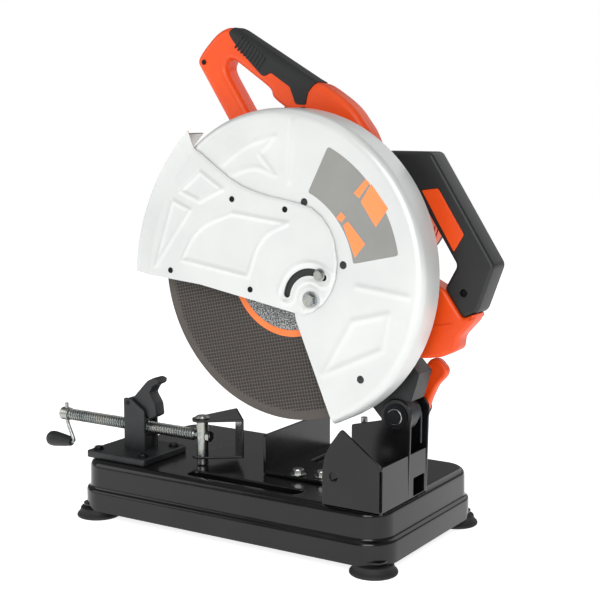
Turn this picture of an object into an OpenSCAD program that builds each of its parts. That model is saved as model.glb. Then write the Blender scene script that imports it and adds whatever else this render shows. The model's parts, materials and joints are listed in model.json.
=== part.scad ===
// Abrasive chop saw for metal: pressed steel base with a vise and a fence,
// and a sprung cutting head that carries a guarded 355 mm abrasive wheel.
// Frame: +X towards the hinge at the rear, -Y on the wheel side, +Z up.
// The origin is on the bench, at the centre of the four bench bolt holes.

/* [Wheel] */
// Outer diameter of the abrasive wheel
wheel_d = 355; // [352:1:356]
// Thickness of the abrasive wheel
wheel_t = 3.2; // [2.8:0.1:3.6]
// Diameter of the wheel's bore
wheel_bore = 25.4; // [25.4:0.1:25.6]
// Diameter of the two clamping flanges
flange_d = 78; // [70:1:84]

/* [Base] */
// Length of the base at its skirt
base_l = 454; // [450:1:460]
// Width of the base at its skirt
base_w = 260; // [258:1:264]
// Height of the deck above the bench
deck_z = 76; // [76:0.5:76.5]
// Thickness of the pressed sheet
sheet_t = 2.5; // [2:0.1:3]
// Radius of the bench bolt holes
bench_hole_r = 4.5; // [4:0.1:5]

/* [Vise and fence] */
// Diameter of the vise screw
screw_d = 15.6; // [15:0.1:15.8]
// Angle at which the jaw is drawn, about its upright pin
jaw_turn = 42; // [35:1:44]
// Height of the fence plate above its flange
fence_h = 46; // [40:1:50]
// Length of the fence plate
fence_l = 156; // [140:1:160]

/* [Head] */
// Width of the front handle
handle_w = 30; // [28:1:30]
// Wall of the moulded shells
shell_t = 2.5; // [2:0.1:3]
// Radius of the motor housing
motor_r = 52; // [50:1:52]
// Teeth of the driven gear
gear_teeth = 48; // [48:48:48]
// Teeth of the pinion
pinion_teeth = 12; // [12:12:12]

/* [Hidden] */
$fn = 72;

// running clearance between a shaft and its hole, on the radius
run = 0.05;
// gap between parts that move past each other
gap = 0.5;
eps = 0.01;

// wheel axis, in the row's X and Z, and the wheel's mid plane in Y
wheel_x = 84.7;
wheel_z = 341;
wheel_y = -99.2;
wheel_near = wheel_y - wheel_t / 2;
wheel_far = wheel_y + wheel_t / 2;
spindle_r = wheel_bore / 2;

// head hinge
pivot_x = 209;
pivot_z = 175;
pin_r = 8;
boss_r = 20;
pivot_dx = pivot_x - wheel_x;
pivot_dz = pivot_z - wheel_z;

// base
skirt_z = 12.3;
step_z = 38.6;
step_in = 5;
corner_r = 39;
foot_x = 205;
foot_y = 108;
foot_r = 28.5;
ear_z = 15.5;

// wheel trough in the deck
trough_x0 = -62;
trough_x1 = 102;
trough_w = 20;
trough_deep = 16;

// hinge bracket sheets
plate_t = 3;
cheek_near = -130;
lug_near = -65;
cheek_far = -20;
bracket_back = 226;
bracket_bolt_at = [[172, -100], [172, -42], [206, -100]];

// depth stop bolt
stop_x = 160;
stop_y = -52;
stop_top = 165.5;

// vise block and its bolts
block_x0 = -188;
block_x1 = -154;
block_y0 = -75;
block_y1 = -46;
block_bolt_at = [[-212, -98], [-138, -98], [-212, -34], [-138, -34]];

// vise
screw_y = -60.6;
screw_z = 114;
screw_r = screw_d / 2;
crank_x = -300;
jaw_x = -71;
jaw_reach = 51;
// how far the jaw face reaches to each side of its pin
jaw_short = 17;
jaw_long = 49;
lever_x = -181;
lever_z = 146;

// fence pivot bolt and lock bolt
fence_bolt = [66, -50];
fence_lock = [96, -42];
fence_x = 20;
fence_y = -58;

// fixed guard
guard_r = 186;
guard_face = -123.6;
guard_back = -80.6;
guard_t = 2;

// moving guard and its pivot, relative to the wheel axis
swing_x = 46;
swing_z = -28.7;
swing_r = 253;
mguard_face = -126.6;
mguard_t = 1.6;
mguard_back = -84;
swing_bolt_r = 7;
stop_r = 31.5;
stop_bolt_r = 3.6;
slot_half = 4.2;

// gear train, module 2.5
gear_m = 2.5;
axis_gap = gear_m * (gear_teeth + pinion_teeth) / 2;
mesh_a = 42.3;
motor_dx = axis_gap * cos(mesh_a);
motor_dz = axis_gap * sin(mesh_a);
gear_y0 = -62;
gear_y1 = -52;
case_r = 71;
case_y0 = -66;
case_y1 = -30;
case_t = 4;
motor_y1 = 91;

// handle
handle_mid = -44;
handle_near = handle_mid - handle_w / 2;
handle_far = handle_mid + handle_w / 2;
trigger_p = [7, 172];
trigger_a = 150;
lock_p = [-5, 183];
screw_at = [[-148, 241], [-92, 150]];

// outlines in X and Z, relative to the wheel axis
handle_out = [[-108, 283], [-124, 279], [-136, 271], [-155, 252], [-161, 241], [-155, 232],
    [-60, 87], [-38, 73], [10, 73], [30, 85], [91, 85], [91, 138], [81, 160], [73, 170],
    [60, 187], [37, 203], [20, 213], [12, 214]];
handle_gap = [[-110, 246], [-52, 207], [-52, 199], [-40, 190], [5, 164], [15, 134], [0, 104],
    [-25, 95], [-38, 111], [-86, 182], [-117, 229], [-117, 237]];
grip_out = [[-104, 285], [-111, 275], [-107, 268], [-95, 254], [-64, 224], [-59, 223],
    [-51, 227], [-24, 210], [-16, 190], [-2, 189], [1, 203], [14, 218]];
loop_out = [[91, 137], [159, 137], [238, 14], [219, -39], [201, -47], [178, -15], [193, 12],
    [137, 99], [115, 92], [91, 92]];
inset_out = [[147, 95], [169, 98], [202, 47], [189, 26]];
shroud_out = [[178, -15], [201, -47], [219, -39], [215, -49], [197, -69], [196, -83],
    [177, -93], [153, -97], [120, -91], [80, -41], [95, 4], [140, 4]];
fixed_cut = [[25, -54], [72, -165], [95, -260], [-260, -260], [-260, 115], [-60, 40], [12, 8]];
mguard_edge = [[27, -46], [-212, -14], [-230, 10], [-230, 120], [-134, 164], [-120, 148],
    [-104, 132], [-86, 116], [-66, 101], [-48, 92], [-31, 86], [-10, 81], [16, 80], [40, 20]];

// ---- helpers ----
// cylinder along Y at (x, z)
module rod_y(x, z, r, y0, y1) {
    translate([x, y0, z]) rotate([-90, 0, 0]) cylinder(h = y1 - y0, r = r);
}
// cylinder along X at (y, z)
module rod_x(y, z, r, x0, x1) {
    translate([x0, y, z]) rotate([0, 90, 0]) cylinder(h = x1 - x0, r = r);
}
// outline in X and Z, given thickness from y0 to y1
module slab(y0, y1) {
    translate([0, y1, 0]) rotate([90, 0, 0]) linear_extrude(y1 - y0) children();
}
// moves a child from the wheel axis frame to the row frame
module at_wheel() { translate([wheel_x, 0, wheel_z]) children(); }
module rounded(l, w, r) {
    square([l - 2 * r, w], center = true);
    square([l, w - 2 * r], center = true);
    for (sx = [-1, 1], sy = [-1, 1]) translate([sx * (l / 2 - r), sy * (w / 2 - r)]) circle(r);
}
// hexagonal head over a shank, axis up
module hex_bolt(r, shank, head = 6) {
    cylinder(h = head, r = 2 * r, $fn = 6);
    translate([0, 0, -shank]) cylinder(h = shank, r = r);
}
module washer(r_in, r_out, t) {
    difference() {
        cylinder(h = t, r = r_out);
        translate([0, 0, -1]) cylinder(h = t + 2, r = r_in);
    }
}
// straight-sided spur gear outline, with the middle of a gap (or of a tooth) at angle a0
module gear_2d(n, a0) {
    rp = gear_m * n / 2;
    step = 360 / n;
    polygon([for (i = [0 : n - 1]) for (k = [0 : 3])
        let (mid = a0 + (i + 0.5) * step,
             r = (k == 0 || k == 3) ? rp - 1.25 * gear_m : rp + 0.85 * gear_m,
             off = [-0.31, -0.11, 0.11, 0.31][k] * step)
        [r * cos(mid + off), r * sin(mid + off)]]);
}

// ---- base ----
module pan_body(grow) {
    translate([0, 0, skirt_z - (grow < 0 ? eps : 0)])
        linear_extrude(step_z - skirt_z + grow + (grow < 0 ? eps : 0))
            rounded(base_l + 2 * grow, base_w + 2 * grow, corner_r + grow);
    translate([0, 0, skirt_z]) linear_extrude(deck_z - skirt_z + grow)
        rounded(base_l - 2 * step_in + 2 * grow, base_w - 2 * step_in + 2 * grow,
            corner_r - step_in + grow);
}
module trough(grow, z0, z1) {
    translate([(trough_x0 + trough_x1) / 2, wheel_y, z0]) linear_extrude(z1 - z0)
        rounded(trough_x1 - trough_x0 + 2 * grow, trough_w + 2 * grow, 8 + grow);
}
module deck_holes() {
    for (p = [fence_bolt, fence_lock]) translate([p[0], p[1], deck_z - 10]) cylinder(h = 20, r = 4);
    for (p = bracket_bolt_at) translate([p[0], p[1], deck_z - 10]) cylinder(h = 20, r = 4);
    for (p = block_bolt_at) translate([p[0], p[1], deck_z - 10]) cylinder(h = 20, r = 3);
}
module base_pan() {
    color("#151617") difference() {
        union() {
            difference() {
                pan_body(0);
                pan_body(-sheet_t);
            }
            intersection() {
                translate([0, 0, ear_z]) linear_extrude(sheet_t) rounded(base_l - 2, base_w - 2, corner_r - 1);
                for (sx = [-1, 1], sy = [-1, 1])
                    translate([sx * foot_x - 26, sy * foot_y - 26, ear_z]) cube([52, 52, sheet_t]);
            }
            trough(sheet_t, deck_z - trough_deep - sheet_t, deck_z - eps);
        }
        trough(0, deck_z - trough_deep, deck_z + 1);
        deck_holes();
        for (sx = [-1, 1], sy = [-1, 1]) translate([sx * foot_x, sy * foot_y, ear_z - 1])
            cylinder(h = sheet_t + 2, r = bench_hole_r + 2);
    }
}
// flared rubber foot with a plug that sits under the pan's corner ear
module foot(sx, sy) {
    color("#1b1b1c") translate([sx * foot_x, sy * foot_y, 0]) difference() {
        union() {
            cylinder(h = 3, r = foot_r);
            translate([0, 0, 3]) cylinder(h = skirt_z - 3, r1 = foot_r, r2 = foot_r - 5);
            translate([0, 0, skirt_z]) cylinder(h = ear_z - skirt_z, r = 11);
        }
        translate([0, 0, -1]) cylinder(h = ear_z + 2, r = bench_hole_r + 2);
    }
}
module foot_front_near() { foot(-1, -1); }
module foot_front_far() { foot(-1, 1); }
module foot_rear_near() { foot(1, -1); }
module foot_rear_far() { foot(1, 1); }
module foot_eyelets() {
    color("silver") for (sx = [-1, 1], sy = [-1, 1]) translate([sx * foot_x, sy * foot_y, 0])
        difference() {
            union() {
                cylinder(h = ear_z + sheet_t + 1, r = bench_hole_r + 2);
                translate([0, 0, ear_z + sheet_t]) cylinder(h = 1.5, r = bench_hole_r + 5);
            }
            translate([0, 0, -1]) cylinder(h = 40, r = bench_hole_r);
        }
}

module cheek_outline() {
    polygon([[149, deck_z], [149, 118], [152, 134], [160, 150], [174, 169], [bracket_back, 131],
        [bracket_back, deck_z]]);
}
module lug_outline(x0, z0) {
    translate([pivot_x, pivot_z]) circle(boss_r);
    polygon([[x0, deck_z + 1], [x0, z0], [pivot_x - boss_r, pivot_z], [pivot_x + 17, pivot_z],
        [bracket_back, deck_z + 1]]);
}
module hinge_bracket() {
    color("#202122") difference() {
        union() {
            slab(cheek_near, cheek_near + plate_t) cheek_outline();
            slab(lug_near, lug_near + plate_t) lug_outline(150, 158);
            slab(cheek_far, cheek_far + plate_t) lug_outline(168, 145);
            translate([149, cheek_near, deck_z])
                cube([bracket_back - 149, cheek_far + plate_t - cheek_near, plate_t]);
            translate([bracket_back - plate_t, cheek_near, deck_z])
                cube([plate_t, cheek_far + plate_t - cheek_near, 131 - deck_z]);
        }
        rod_y(164, 112, 5.5, cheek_near - 1, cheek_near + plate_t + 1);
        rod_y(pivot_x, pivot_z, pin_r, lug_near - 5, cheek_far + 8);
        translate([bracket_back - 10, -52, deck_z + plate_t]) cube([20, 28, 22]);
        for (p = bracket_bolt_at) translate([p[0], p[1], deck_z - 1]) cylinder(h = 8, r = 4);
        translate([stop_x, stop_y, deck_z - 1]) cylinder(h = 8, r = 4);
    }
}
module bracket_bolts() {
    color("silver") for (p = bracket_bolt_at) translate([p[0], p[1], deck_z + plate_t]) hex_bolt(4, 12);
}
module depth_stop_bolt() {
    color("silver") translate([stop_x, stop_y, deck_z + plate_t]) {
        cylinder(h = 6, r = 7.5, $fn = 6);
        translate([0, 0, -plate_t]) cylinder(h = stop_top - deck_z, r = 4);
    }
}
module pivot_pin() {
    color("#8b8f92") union() {
        rod_y(pivot_x, pivot_z, pin_r, -72, 0);
        rod_y(pivot_x, pivot_z, 12, 0, 4);
    }
}
module pivot_clip() {
    color("silver") translate([pivot_x, -68, pivot_z]) rotate([-90, 0, 0]) union() {
        difference() {
            washer(pin_r, 12.5, 1.2);
            translate([-4, 0, -1]) cube([8, 20, 4]);
        }
        translate([0, 0, 1.2]) washer(pin_r, 15, 1.8);
    }
}
module return_spring() {
    color("#55585a") translate([pivot_x, 0, pivot_z]) union() {
        translate([0, -42, 0]) rotate([-90, 0, 0]) rotate_extrude() {
            for (i = [0 : 4]) translate([11, 3.8 * i]) square([3.2, 2.6]);
            translate([12, 0]) square([1.2, 17.8]);
        }
        translate([12.6, -25.6, -38]) cylinder(h = 37, r = 1.2);
    }
}

// ---- vise ----
module vise_block() {
    color("#1a1b1c") difference() {
        union() {
            translate([-222, -112, deck_z]) cube([96, 92, 9]);
            for (y = [block_y0, block_y1 - 4]) slab(y, y + 4)
                polygon([[block_x0, deck_z + 8], [block_x0, 152], [block_x0 + 12, 152], [block_x1, 138],
                    [block_x1, deck_z + 8]]);
            translate([block_x0 + 4, block_y0 + 3, deck_z + 8])
                cube([26, block_y1 - block_y0 - 6, screw_z - deck_z - 8]);
        }
        rod_x(screw_y, screw_z, screw_r + run, -230, -120);
        rod_y(lever_x, lever_z, 3, block_y0 - 1, block_y1 + 1);
        for (p = block_bolt_at) translate([p[0], p[1], deck_z - 1]) cylinder(h = 12, r = 3);
    }
}
module vise_block_bolts() {
    color("#6d7072") for (p = block_bolt_at) translate([p[0], p[1], deck_z + 9]) hex_bolt(3, 16, 4);
}
module lever_pin() {
    color("#6d7072") rod_y(lever_x, lever_z, 3, block_y0 - 0.5, block_y1 + 0.5);
}
module half_nut_lever() {
    color("#1a1b1c") difference() {
        union() {
            rod_y(lever_x, lever_z, 7, block_y0 + 5, block_y1 - 5);
            slab(block_y0 + 5, block_y1 - 5)
                polygon([[lever_x - 4, lever_z + 5.5], [-153, 177], [-141, 183], [-133, 181],
                    [-134, 175], [-143, 171], [-149, 161], [-140, 148], [-138, 132], [-150, 126],
                    [-158, 138], [lever_x, lever_z - 6.5]]);
        }
        rod_y(lever_x, lever_z, 3 + run, block_y0, block_y1);
    }
}
module vise_screw() {
    color("#b9bcb8") difference() {
        union() {
            rod_x(screw_y, screw_z, screw_r, crank_x + 6, jaw_x - 9);
            rod_x(screw_y, screw_z, screw_r + 1, crank_x - 7, crank_x + 6);
            rod_x(screw_y, screw_z, 4.2, jaw_x - 9, jaw_x + 13);
        }
        translate([crank_x, screw_y, screw_z - 20]) cylinder(h = 40, r = 2.6);
    }
}
module screw_nut() {
    color("silver") difference() {
        rod_x_hex(screw_y, screw_z, 7, jaw_x + 8.2, jaw_x + 13);
        rod_x(screw_y, screw_z, 4.2, jaw_x, jaw_x + 20);
    }
}
module rod_x_hex(y, z, r, x0, x1) {
    translate([x0, y, z]) rotate([0, 90, 0]) cylinder(h = x1 - x0, r = r, $fn = 6);
}
// crank rod: straight through the screw's head, then bent out to the knob
module crank_rod() {
    color("#b9bcb8") translate([crank_x, screw_y, screw_z]) {
        translate([0, 0, -13]) cylinder(h = 27, r = 2.6);
        translate([0, 0, -11]) rotate([0, 180 - 25, 0]) cylinder(h = 32, r = 2.59);
        translate([30 * sin(25) + 2.4, 0, -11 - 30 * cos(25)]) rotate([0, -90, 0]) cylinder(h = 48.4, r = 2.6);
    }
}
module crank_knob() {
    color("#1b1b1c") translate([crank_x + 30 * sin(25) - 5, screw_y, screw_z - 11 - 30 * cos(25)])
        rotate([0, -90, 0]) difference() {
            union() {
                cylinder(h = 32, r1 = 6.5, r2 = 10.5);
                translate([0, 0, 32]) cylinder(h = 10, r1 = 10.5, r2 = 7);
            }
            translate([0, 0, -1]) cylinder(h = 42.1, r = 2.6);
        }
}
module jaw_pin() {
    color("#b9bcb8") difference() {
        union() {
            translate([jaw_x, screw_y, deck_z + 1]) cylinder(h = 63, r = 7.5);
            translate([jaw_x, screw_y, 140]) cylinder(h = 2.5, r = 10);
        }
        rod_x(screw_y, screw_z, 4.2 + run, jaw_x - 20, jaw_x + 20);
    }
}
// U bracket that turns on the upright pin
module jaw_bracket() {
    color("#232425") translate([jaw_x, screw_y, 0]) rotate([0, 0, jaw_turn]) difference() {
        union() {
            for (z = [86, 133.5]) translate([0, 0, z]) linear_extrude(3) union() {
                circle(13);
                polygon([[0, -13], [jaw_reach - 3, -jaw_short], [jaw_reach - 3, jaw_long], [-4, 12.3]]);
            }
            translate([jaw_reach - 3, -jaw_short, 86]) cube([3, jaw_short + jaw_long, 50.5]);
        }
        translate([0, 0, 80]) cylinder(h = 60, r = 7.5 + run);
    }
}

// ---- fence ----
module fence() {
    color("#1d1e1f") difference() {
        union() {
            translate([fence_x, fence_y, deck_z + gap]) cube([4, fence_l, fence_h + 4]);
            translate([fence_x, fence_y, deck_z + gap]) cube([22, fence_l, 4]);
            translate([fence_x, fence_y, deck_z + gap]) linear_extrude(4)
                polygon([[0, 0], [84, 0], [92, 8], [92, 40], [60, 60], [0, 76]]);
        }
        translate([fence_bolt[0], fence_bolt[1], deck_z - 1]) cylinder(h = 10, r = 5 + run);
        translate([fence_bolt[0], fence_bolt[1], deck_z - 1]) linear_extrude(10)
            sector_2d(26.6, 35.4, 6, 69);
    }
}
module fence_bolts() {
    color("silver") {
        translate([fence_bolt[0], fence_bolt[1], deck_z]) {
            translate([0, 0, -12]) cylinder(h = 12, r = 4);
            cylinder(h = 5, r = 5);
            translate([0, 0, 5]) cylinder(h = 1.5, r = 10);
            translate([0, 0, 6.5]) cylinder(h = 6, r = 7.5, $fn = 6);
        }
        translate([fence_lock[0], fence_lock[1], deck_z]) {
            translate([0, 0, -12]) cylinder(h = 17, r = 4);
            translate([0, 0, 5]) cylinder(h = 1.5, r = 10);
            translate([0, 0, 6.5]) cylinder(h = 6, r = 7.5, $fn = 6);
        }
    }
}

// ---- cutting head: gear case, arm and motor ----
module case_outline(r, rm) {
    circle(r);
    translate([motor_dx, motor_dz]) circle(rm);
}
// straight-sided web between two circles
module link_2d(x0, z0, r0, x1, z1, r1) {
    d = norm([x1 - x0, z1 - z0]);
    a = atan2(z1 - z0, x1 - x0);
    b = acos((r0 - r1) / d);
    translate([x0, z0]) circle(r0);
    translate([x1, z1]) circle(r1);
    polygon([for (s = [1, -1]) for (k = (s > 0 ? [0, 1] : [1, 0]))
        [(k == 0 ? x0 : x1) + (k == 0 ? r0 : r1) * cos(a + s * b),
         (k == 0 ? z0 : z1) + (k == 0 ? r0 : r1) * sin(a + s * b)]]);
}
module arm_2d() {
    link_2d(0, 0, 44, pivot_dx, pivot_dz, boss_r - 1);
    polygon([[40, 0], [100, -60], [152, -114], [148, -129], [142, -147], [100, -150]]);
}
module gear_case() {
    color("#1c1d1e") difference() {
        union() {
            at_wheel() slab(case_y0, case_y1) case_outline(case_r, 27);
            at_wheel() slab(lug_near + 3.5, case_y1) arm_2d();
        }
        at_wheel() slab(case_y0 - 1, case_y1 - case_t) case_outline(case_r - 5, 20);
        rod_y(wheel_x, wheel_z, 13, case_y1 - case_t - 1, case_y1 - 2);
        rod_y(wheel_x + motor_dx, wheel_z + motor_dz, 11, case_y1 - case_t - 1, case_y1 + 1);
        rod_y(pivot_x, pivot_z, pin_r + run, -80, -10);
        rod_y(pivot_x, pivot_z, 24, -44.5, case_y1 + 1);
        rod_y(wheel_x - 40, wheel_z, 3.5 + run, case_y1 - case_t - 1, case_y1 + 1);
    }
}
module gear_cover() {
    color("#2b2c2e") difference() {
        union() {
            at_wheel() slab(case_y0 - 4, case_y0) case_outline(case_r, 27);
            rod_y(wheel_x, wheel_z, 26, guard_back + 0.1, case_y0);
        }
        rod_y(wheel_x, wheel_z, 20, guard_back + 2.1, case_y0 + 1);
        rod_y(wheel_x, wheel_z, 12, guard_back - 1, case_y0);
    }
}
// ring bearings held in the case, each with the shaft's running hole
module spindle_bearings() {
    color("#a9acae") {
        difference() {
            rod_y(wheel_x, wheel_z, 20, guard_back + 2.1, -68.5);
            rod_y(wheel_x, wheel_z, 10 + run, -90, -60);
        }
        difference() {
            rod_y(wheel_x, wheel_z, 13, case_y1 - case_t - 7, case_y1 - 2);
            rod_y(wheel_x, wheel_z, 6 + run, -50, -20);
        }
    }
}
module armature_bearings() {
    color("#a9acae") translate([wheel_x + motor_dx, 0, wheel_z + motor_dz]) {
        difference() {
            rod_y(0, 0, 11, case_y1 - case_t, case_y1 + 3);
            rod_y(0, 0, 5 + run, case_y1 - 9, case_y1 + 9);
        }
        difference() {
            rod_y(0, 0, 11, motor_y1 + 1, motor_y1 + 8);
            rod_y(0, 0, 4 + run, motor_y1, motor_y1 + 12);
        }
    }
}
module motor_housing() {
    color("#f2601e") translate([wheel_x + motor_dx, 0, wheel_z + motor_dz]) difference() {
        union() {
            rod_y(0, 0, motor_r, case_y1 + 0.1, motor_y1);
            rod_y(0, 0, motor_r + 2, 20, 26);
        }
        rod_y(0, 0, motor_r - shell_t, case_y1 + 3.1, motor_y1 + 1);
        rod_y(0, 0, 11, case_y1 - 1, case_y1 + 5);
        translate([-motor_r - 1, 74, 0]) rotate([0, 90, 0]) cylinder(h = 2 * motor_r + 2, r = 4.6);
        for (i = [0 : 9]) rotate([0, -18 - 36 * i, 0])
            for (k = [0 : 2]) translate([motor_r - 6, 52 + 10 * k, -9]) cube([12, 4, 18]);
    }
}
module motor_end_cap() {
    color("#1b1c1d") translate([wheel_x + motor_dx, 0, wheel_z + motor_dz]) difference() {
        translate([0, motor_y1 + 0.1, 0]) rotate([-90, 0, 0]) rotate_extrude()
            polygon([[0, 0], [motor_r, 0], [motor_r, 6], [motor_r - 4, 14], [motor_r - 16, 20], [0, 21]]);
        translate([0, motor_y1, 0]) rotate([-90, 0, 0]) rotate_extrude()
            polygon([[11, 0], [motor_r - 3, 0], [motor_r - 3, 5], [motor_r - 7, 11], [motor_r - 17, 15],
                [11, 15]]);
        rod_y(0, 0, 11, motor_y1 - 1, motor_y1 + 9);
        for (i = [0 : 11]) rotate([0, 30 * i, 0]) translate([24, motor_y1 + 10, -1.5]) cube([16, 20, 3]);
        rod_y(-30, -20, 5, motor_y1, motor_y1 + 30);
    }
}
module cord_gland() {
    color("#1b1c1d") translate([wheel_x + motor_dx - 30, 0, wheel_z + motor_dz - 20]) difference() {
        union() {
            rod_y(0, 0, 5, motor_y1 + 12, motor_y1 + 21);
            translate([0, motor_y1 + 21, 0]) rotate([-90, 0, 0]) cylinder(h = 26, r1 = 9, r2 = 6.5);
        }
        rod_y(0, 0, 3.6, motor_y1, motor_y1 + 60);
    }
}
module stator() {
    color("#7d8083") translate([wheel_x + motor_dx, 0, wheel_z + motor_dz]) difference() {
        rod_y(0, 0, motor_r - shell_t - 0.1, 0, 44);
        rod_y(0, 0, 29, -1, 45);
        for (s = [-1, 1]) translate([s * 44, -1, -14]) translate([-5, 0, 0]) cube([10, 46, 28]);
    }
}
module brush_caps() {
    color("#1b1c1d") translate([wheel_x + motor_dx, 74, wheel_z + motor_dz]) for (s = [-1, 1])
        rotate([0, s * 90, 0]) translate([0, 0, motor_r - 9]) difference() {
            cylinder(h = 11.5, r = 4.6);
            translate([-4, -0.6, 10.5]) cube([8, 1.2, 2]);
        }
}
module rear_shroud() {
    color("#f2601e") at_wheel() slab(-57, case_y1 - 0.1) difference() {
        polygon(shroud_out);
        arm_2d();
        case_outline(case_r + 0.1, 27.1);
    }
}
module carry_2d() {
    difference() {
        polygon(loop_out);
        translate([motor_dx, motor_dz]) circle(motor_r + 2.2);
    }
}
module carry_handle() {
    color("#1c1d1e") difference() {
        at_wheel() slab(-55, -21) carry_2d();
        at_wheel() slab(-56, -53.5) polygon(inset_out);
        rod_y(wheel_x + 202, wheel_z - 18, 4, -56, -52);
    }
}
module carry_inset() { color("#f2601e") at_wheel() slab(-55.4, -53.5) polygon(inset_out); }

// ---- front handle ----
module handle_2d() {
    difference() {
        polygon(handle_out);
        polygon(handle_gap);
        case_outline(case_r + 0.2, motor_r + 0.2);
    }
}
module handle_hollow() { offset(delta = -shell_t) handle_2d(); }
// places a child on the trigger's pivot, first axis along the trigger, second axis outwards
module at_trigger() {
    at_wheel() translate([trigger_p[0], 0, trigger_p[1]]) rotate([0, -trigger_a, 0]) children();
}
module handle_shell(y0, y1, skin0, skin1) {
    color("#f2601e") difference() {
        at_wheel() slab(y0, y1) handle_2d();
        at_wheel() slab(skin0, skin1) handle_hollow();
        at_wheel() slab(y0 - 1, y1 + 1) polygon(grip_out);
        at_trigger() translate([6, handle_mid - 9, 2]) cube([41, 18, 16]);
        at_wheel() for (p = screw_at) rod_y(p[0], p[1], 1.7, handle_near - 1, handle_far - 2);
        at_wheel() rod_y(lock_p[0], lock_p[1], 4 + run, handle_near - 1, handle_mid);
        at_trigger() rod_y(0, 0, 2, handle_mid - 11, handle_mid + 11);
    }
}
module handle_shell_near() { handle_shell(handle_near, handle_mid, handle_near + shell_t, handle_mid + 1); }
module handle_shell_far() { handle_shell(handle_mid, handle_far, handle_mid - 1, handle_far - shell_t); }
module handle_screws() {
    color("#3a3b3d") at_wheel() for (p = screw_at) {
        rod_y(p[0], p[1], 1.6, handle_near, handle_far - 3);
        rod_y(p[0], p[1], 3, handle_near - 1.2, handle_near);
    }
    color("#8b8f92") at_trigger() rod_y(0, 0, 2, handle_mid - 11, handle_mid + 11);
}
module grip_overmould() {
    color("#161718") at_wheel() difference() {
        slab(handle_near - 1.2, handle_far + 1.2) polygon(grip_out);
        slab(handle_near + shell_t, handle_far - shell_t) handle_hollow();
    }
}
module switch_body() {
    color("#2a2b2d") at_trigger() translate([17, handle_mid - 7, -32]) cube([24, 14, 14]);
}
module trigger() {
    color("#1a1b1c") at_trigger() difference() {
        slab(handle_mid - 8, handle_mid + 8) polygon([[-4, -4], [6, -4], [50, -3], [50, 4], [45, 5], [44, 15],
            [34, 17], [20, 14], [8, 13], [7, 5], [-4, 4]]);
        rod_y(0, 0, 2 + run, handle_mid - 20, handle_mid + 20);
    }
}
module lock_button() {
    color("#1a1b1c") at_wheel() union() {
        rod_y(lock_p[0], lock_p[1], 4, handle_near - 3, handle_near + 4.5);
        rod_y(lock_p[0], lock_p[1], 5.5, handle_near + shell_t + 0.3, handle_near + 4.5);
    }
}
module spindle_lock() {
    color("#8b8f92") translate([wheel_x - 40, 0, wheel_z]) union() {
        rod_y(0, 0, 3.5, gear_y1 + 2, -20);
        rod_y(0, 0, 9, -20, -12);
    }
}
module latch_lever() {
    color("#f2601e") difference() {
        union() {
            rod_y(pivot_x, pivot_z, 14, -15.5, -4.5);
            slab(-15.5, -4.5) polygon([[pivot_x - 9, pivot_z + 9], [220, 205], [221, 228], [228, 237], [239, 237],
                [249, 226], [248, 218], [236, 205], [228, 188], [pivot_x + 10, pivot_z - 9]]);
        }
        rod_y(pivot_x, pivot_z, pin_r + run, -30, 10);
    }
}

// ---- guards ----
module fixed_2d(r) {
    difference() {
        circle(r);
        polygon(fixed_cut);
    }
}
module guard_fixed() {
    color("#c9cdce") difference() {
        union() {
            at_wheel() slab(guard_face, guard_face + guard_t) fixed_2d(guard_r);
            at_wheel() slab(guard_face, guard_back) difference() {
                fixed_2d(guard_r);
                circle(guard_r - guard_t);
            }
            at_wheel() slab(guard_back - guard_t, guard_back) difference() {
                union() {
                    fixed_2d(guard_r);
                    circle(60);
                }
                circle(30);
            }
        }
        at_wheel() rod_y(swing_x, swing_z, 4, -130, -110);
        at_wheel() rod_y(swing_x + stop_r * cos(67), swing_z + stop_r * sin(67), 3, -130, -110);
        at_wheel() for (p = [[62, 104], [99, -3], [118, -119]]) rod_y(p[0], p[1], 3, -130, -110);
    }
}
module guard_decal() {
    color("#8f9497") at_wheel() slab(guard_face - 0.3, guard_face)
        sector_2d(101, 158.5, 9, 66);
}
// ring sector between two radii and two angles
module sector_2d(r0, r1, a0, a1) {
    n = 24;
    polygon(concat([for (i = [0 : n]) let (a = a0 + (a1 - a0) * i / n) [r1 * cos(a), r1 * sin(a)]],
        [for (i = [0 : n]) let (a = a1 - (a1 - a0) * i / n) [r0 * cos(a), r0 * sin(a)]]));
}
module guard_pivot_bolt() {
    color("silver") at_wheel() translate([swing_x, guard_face, swing_z]) {
        rod_y(0, 0, swing_bolt_r, mguard_face - guard_face - 0.4, 0);
        rod_y(0, 0, 4, 0, 6);
        rod_y(0, 0, 10, mguard_face - guard_face - 1.6, mguard_face - guard_face - 0.4);
        translate([0, mguard_face - guard_face - 1.6, 0]) rotate([90, 0, 0]) cylinder(h = 4, r = 7.5, $fn = 6);
        rod_y(0, 0, 7, guard_t, 6);
    }
}
module guard_stop_bolt() {
    color("silver") at_wheel() translate([swing_x + stop_r * cos(67), guard_face, swing_z + stop_r * sin(67)]) {
        rod_y(0, 0, stop_bolt_r, mguard_face - guard_face - 0.4, 0);
        rod_y(0, 0, 3, 0, 4);
        rod_y(0, 0, 7.5, mguard_face - guard_face - 1.6, mguard_face - guard_face - 0.4);
        translate([0, mguard_face - guard_face - 1.6, 0]) rotate([90, 0, 0]) cylinder(h = 3.5, r = 6, $fn = 6);
    }
}
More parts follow.
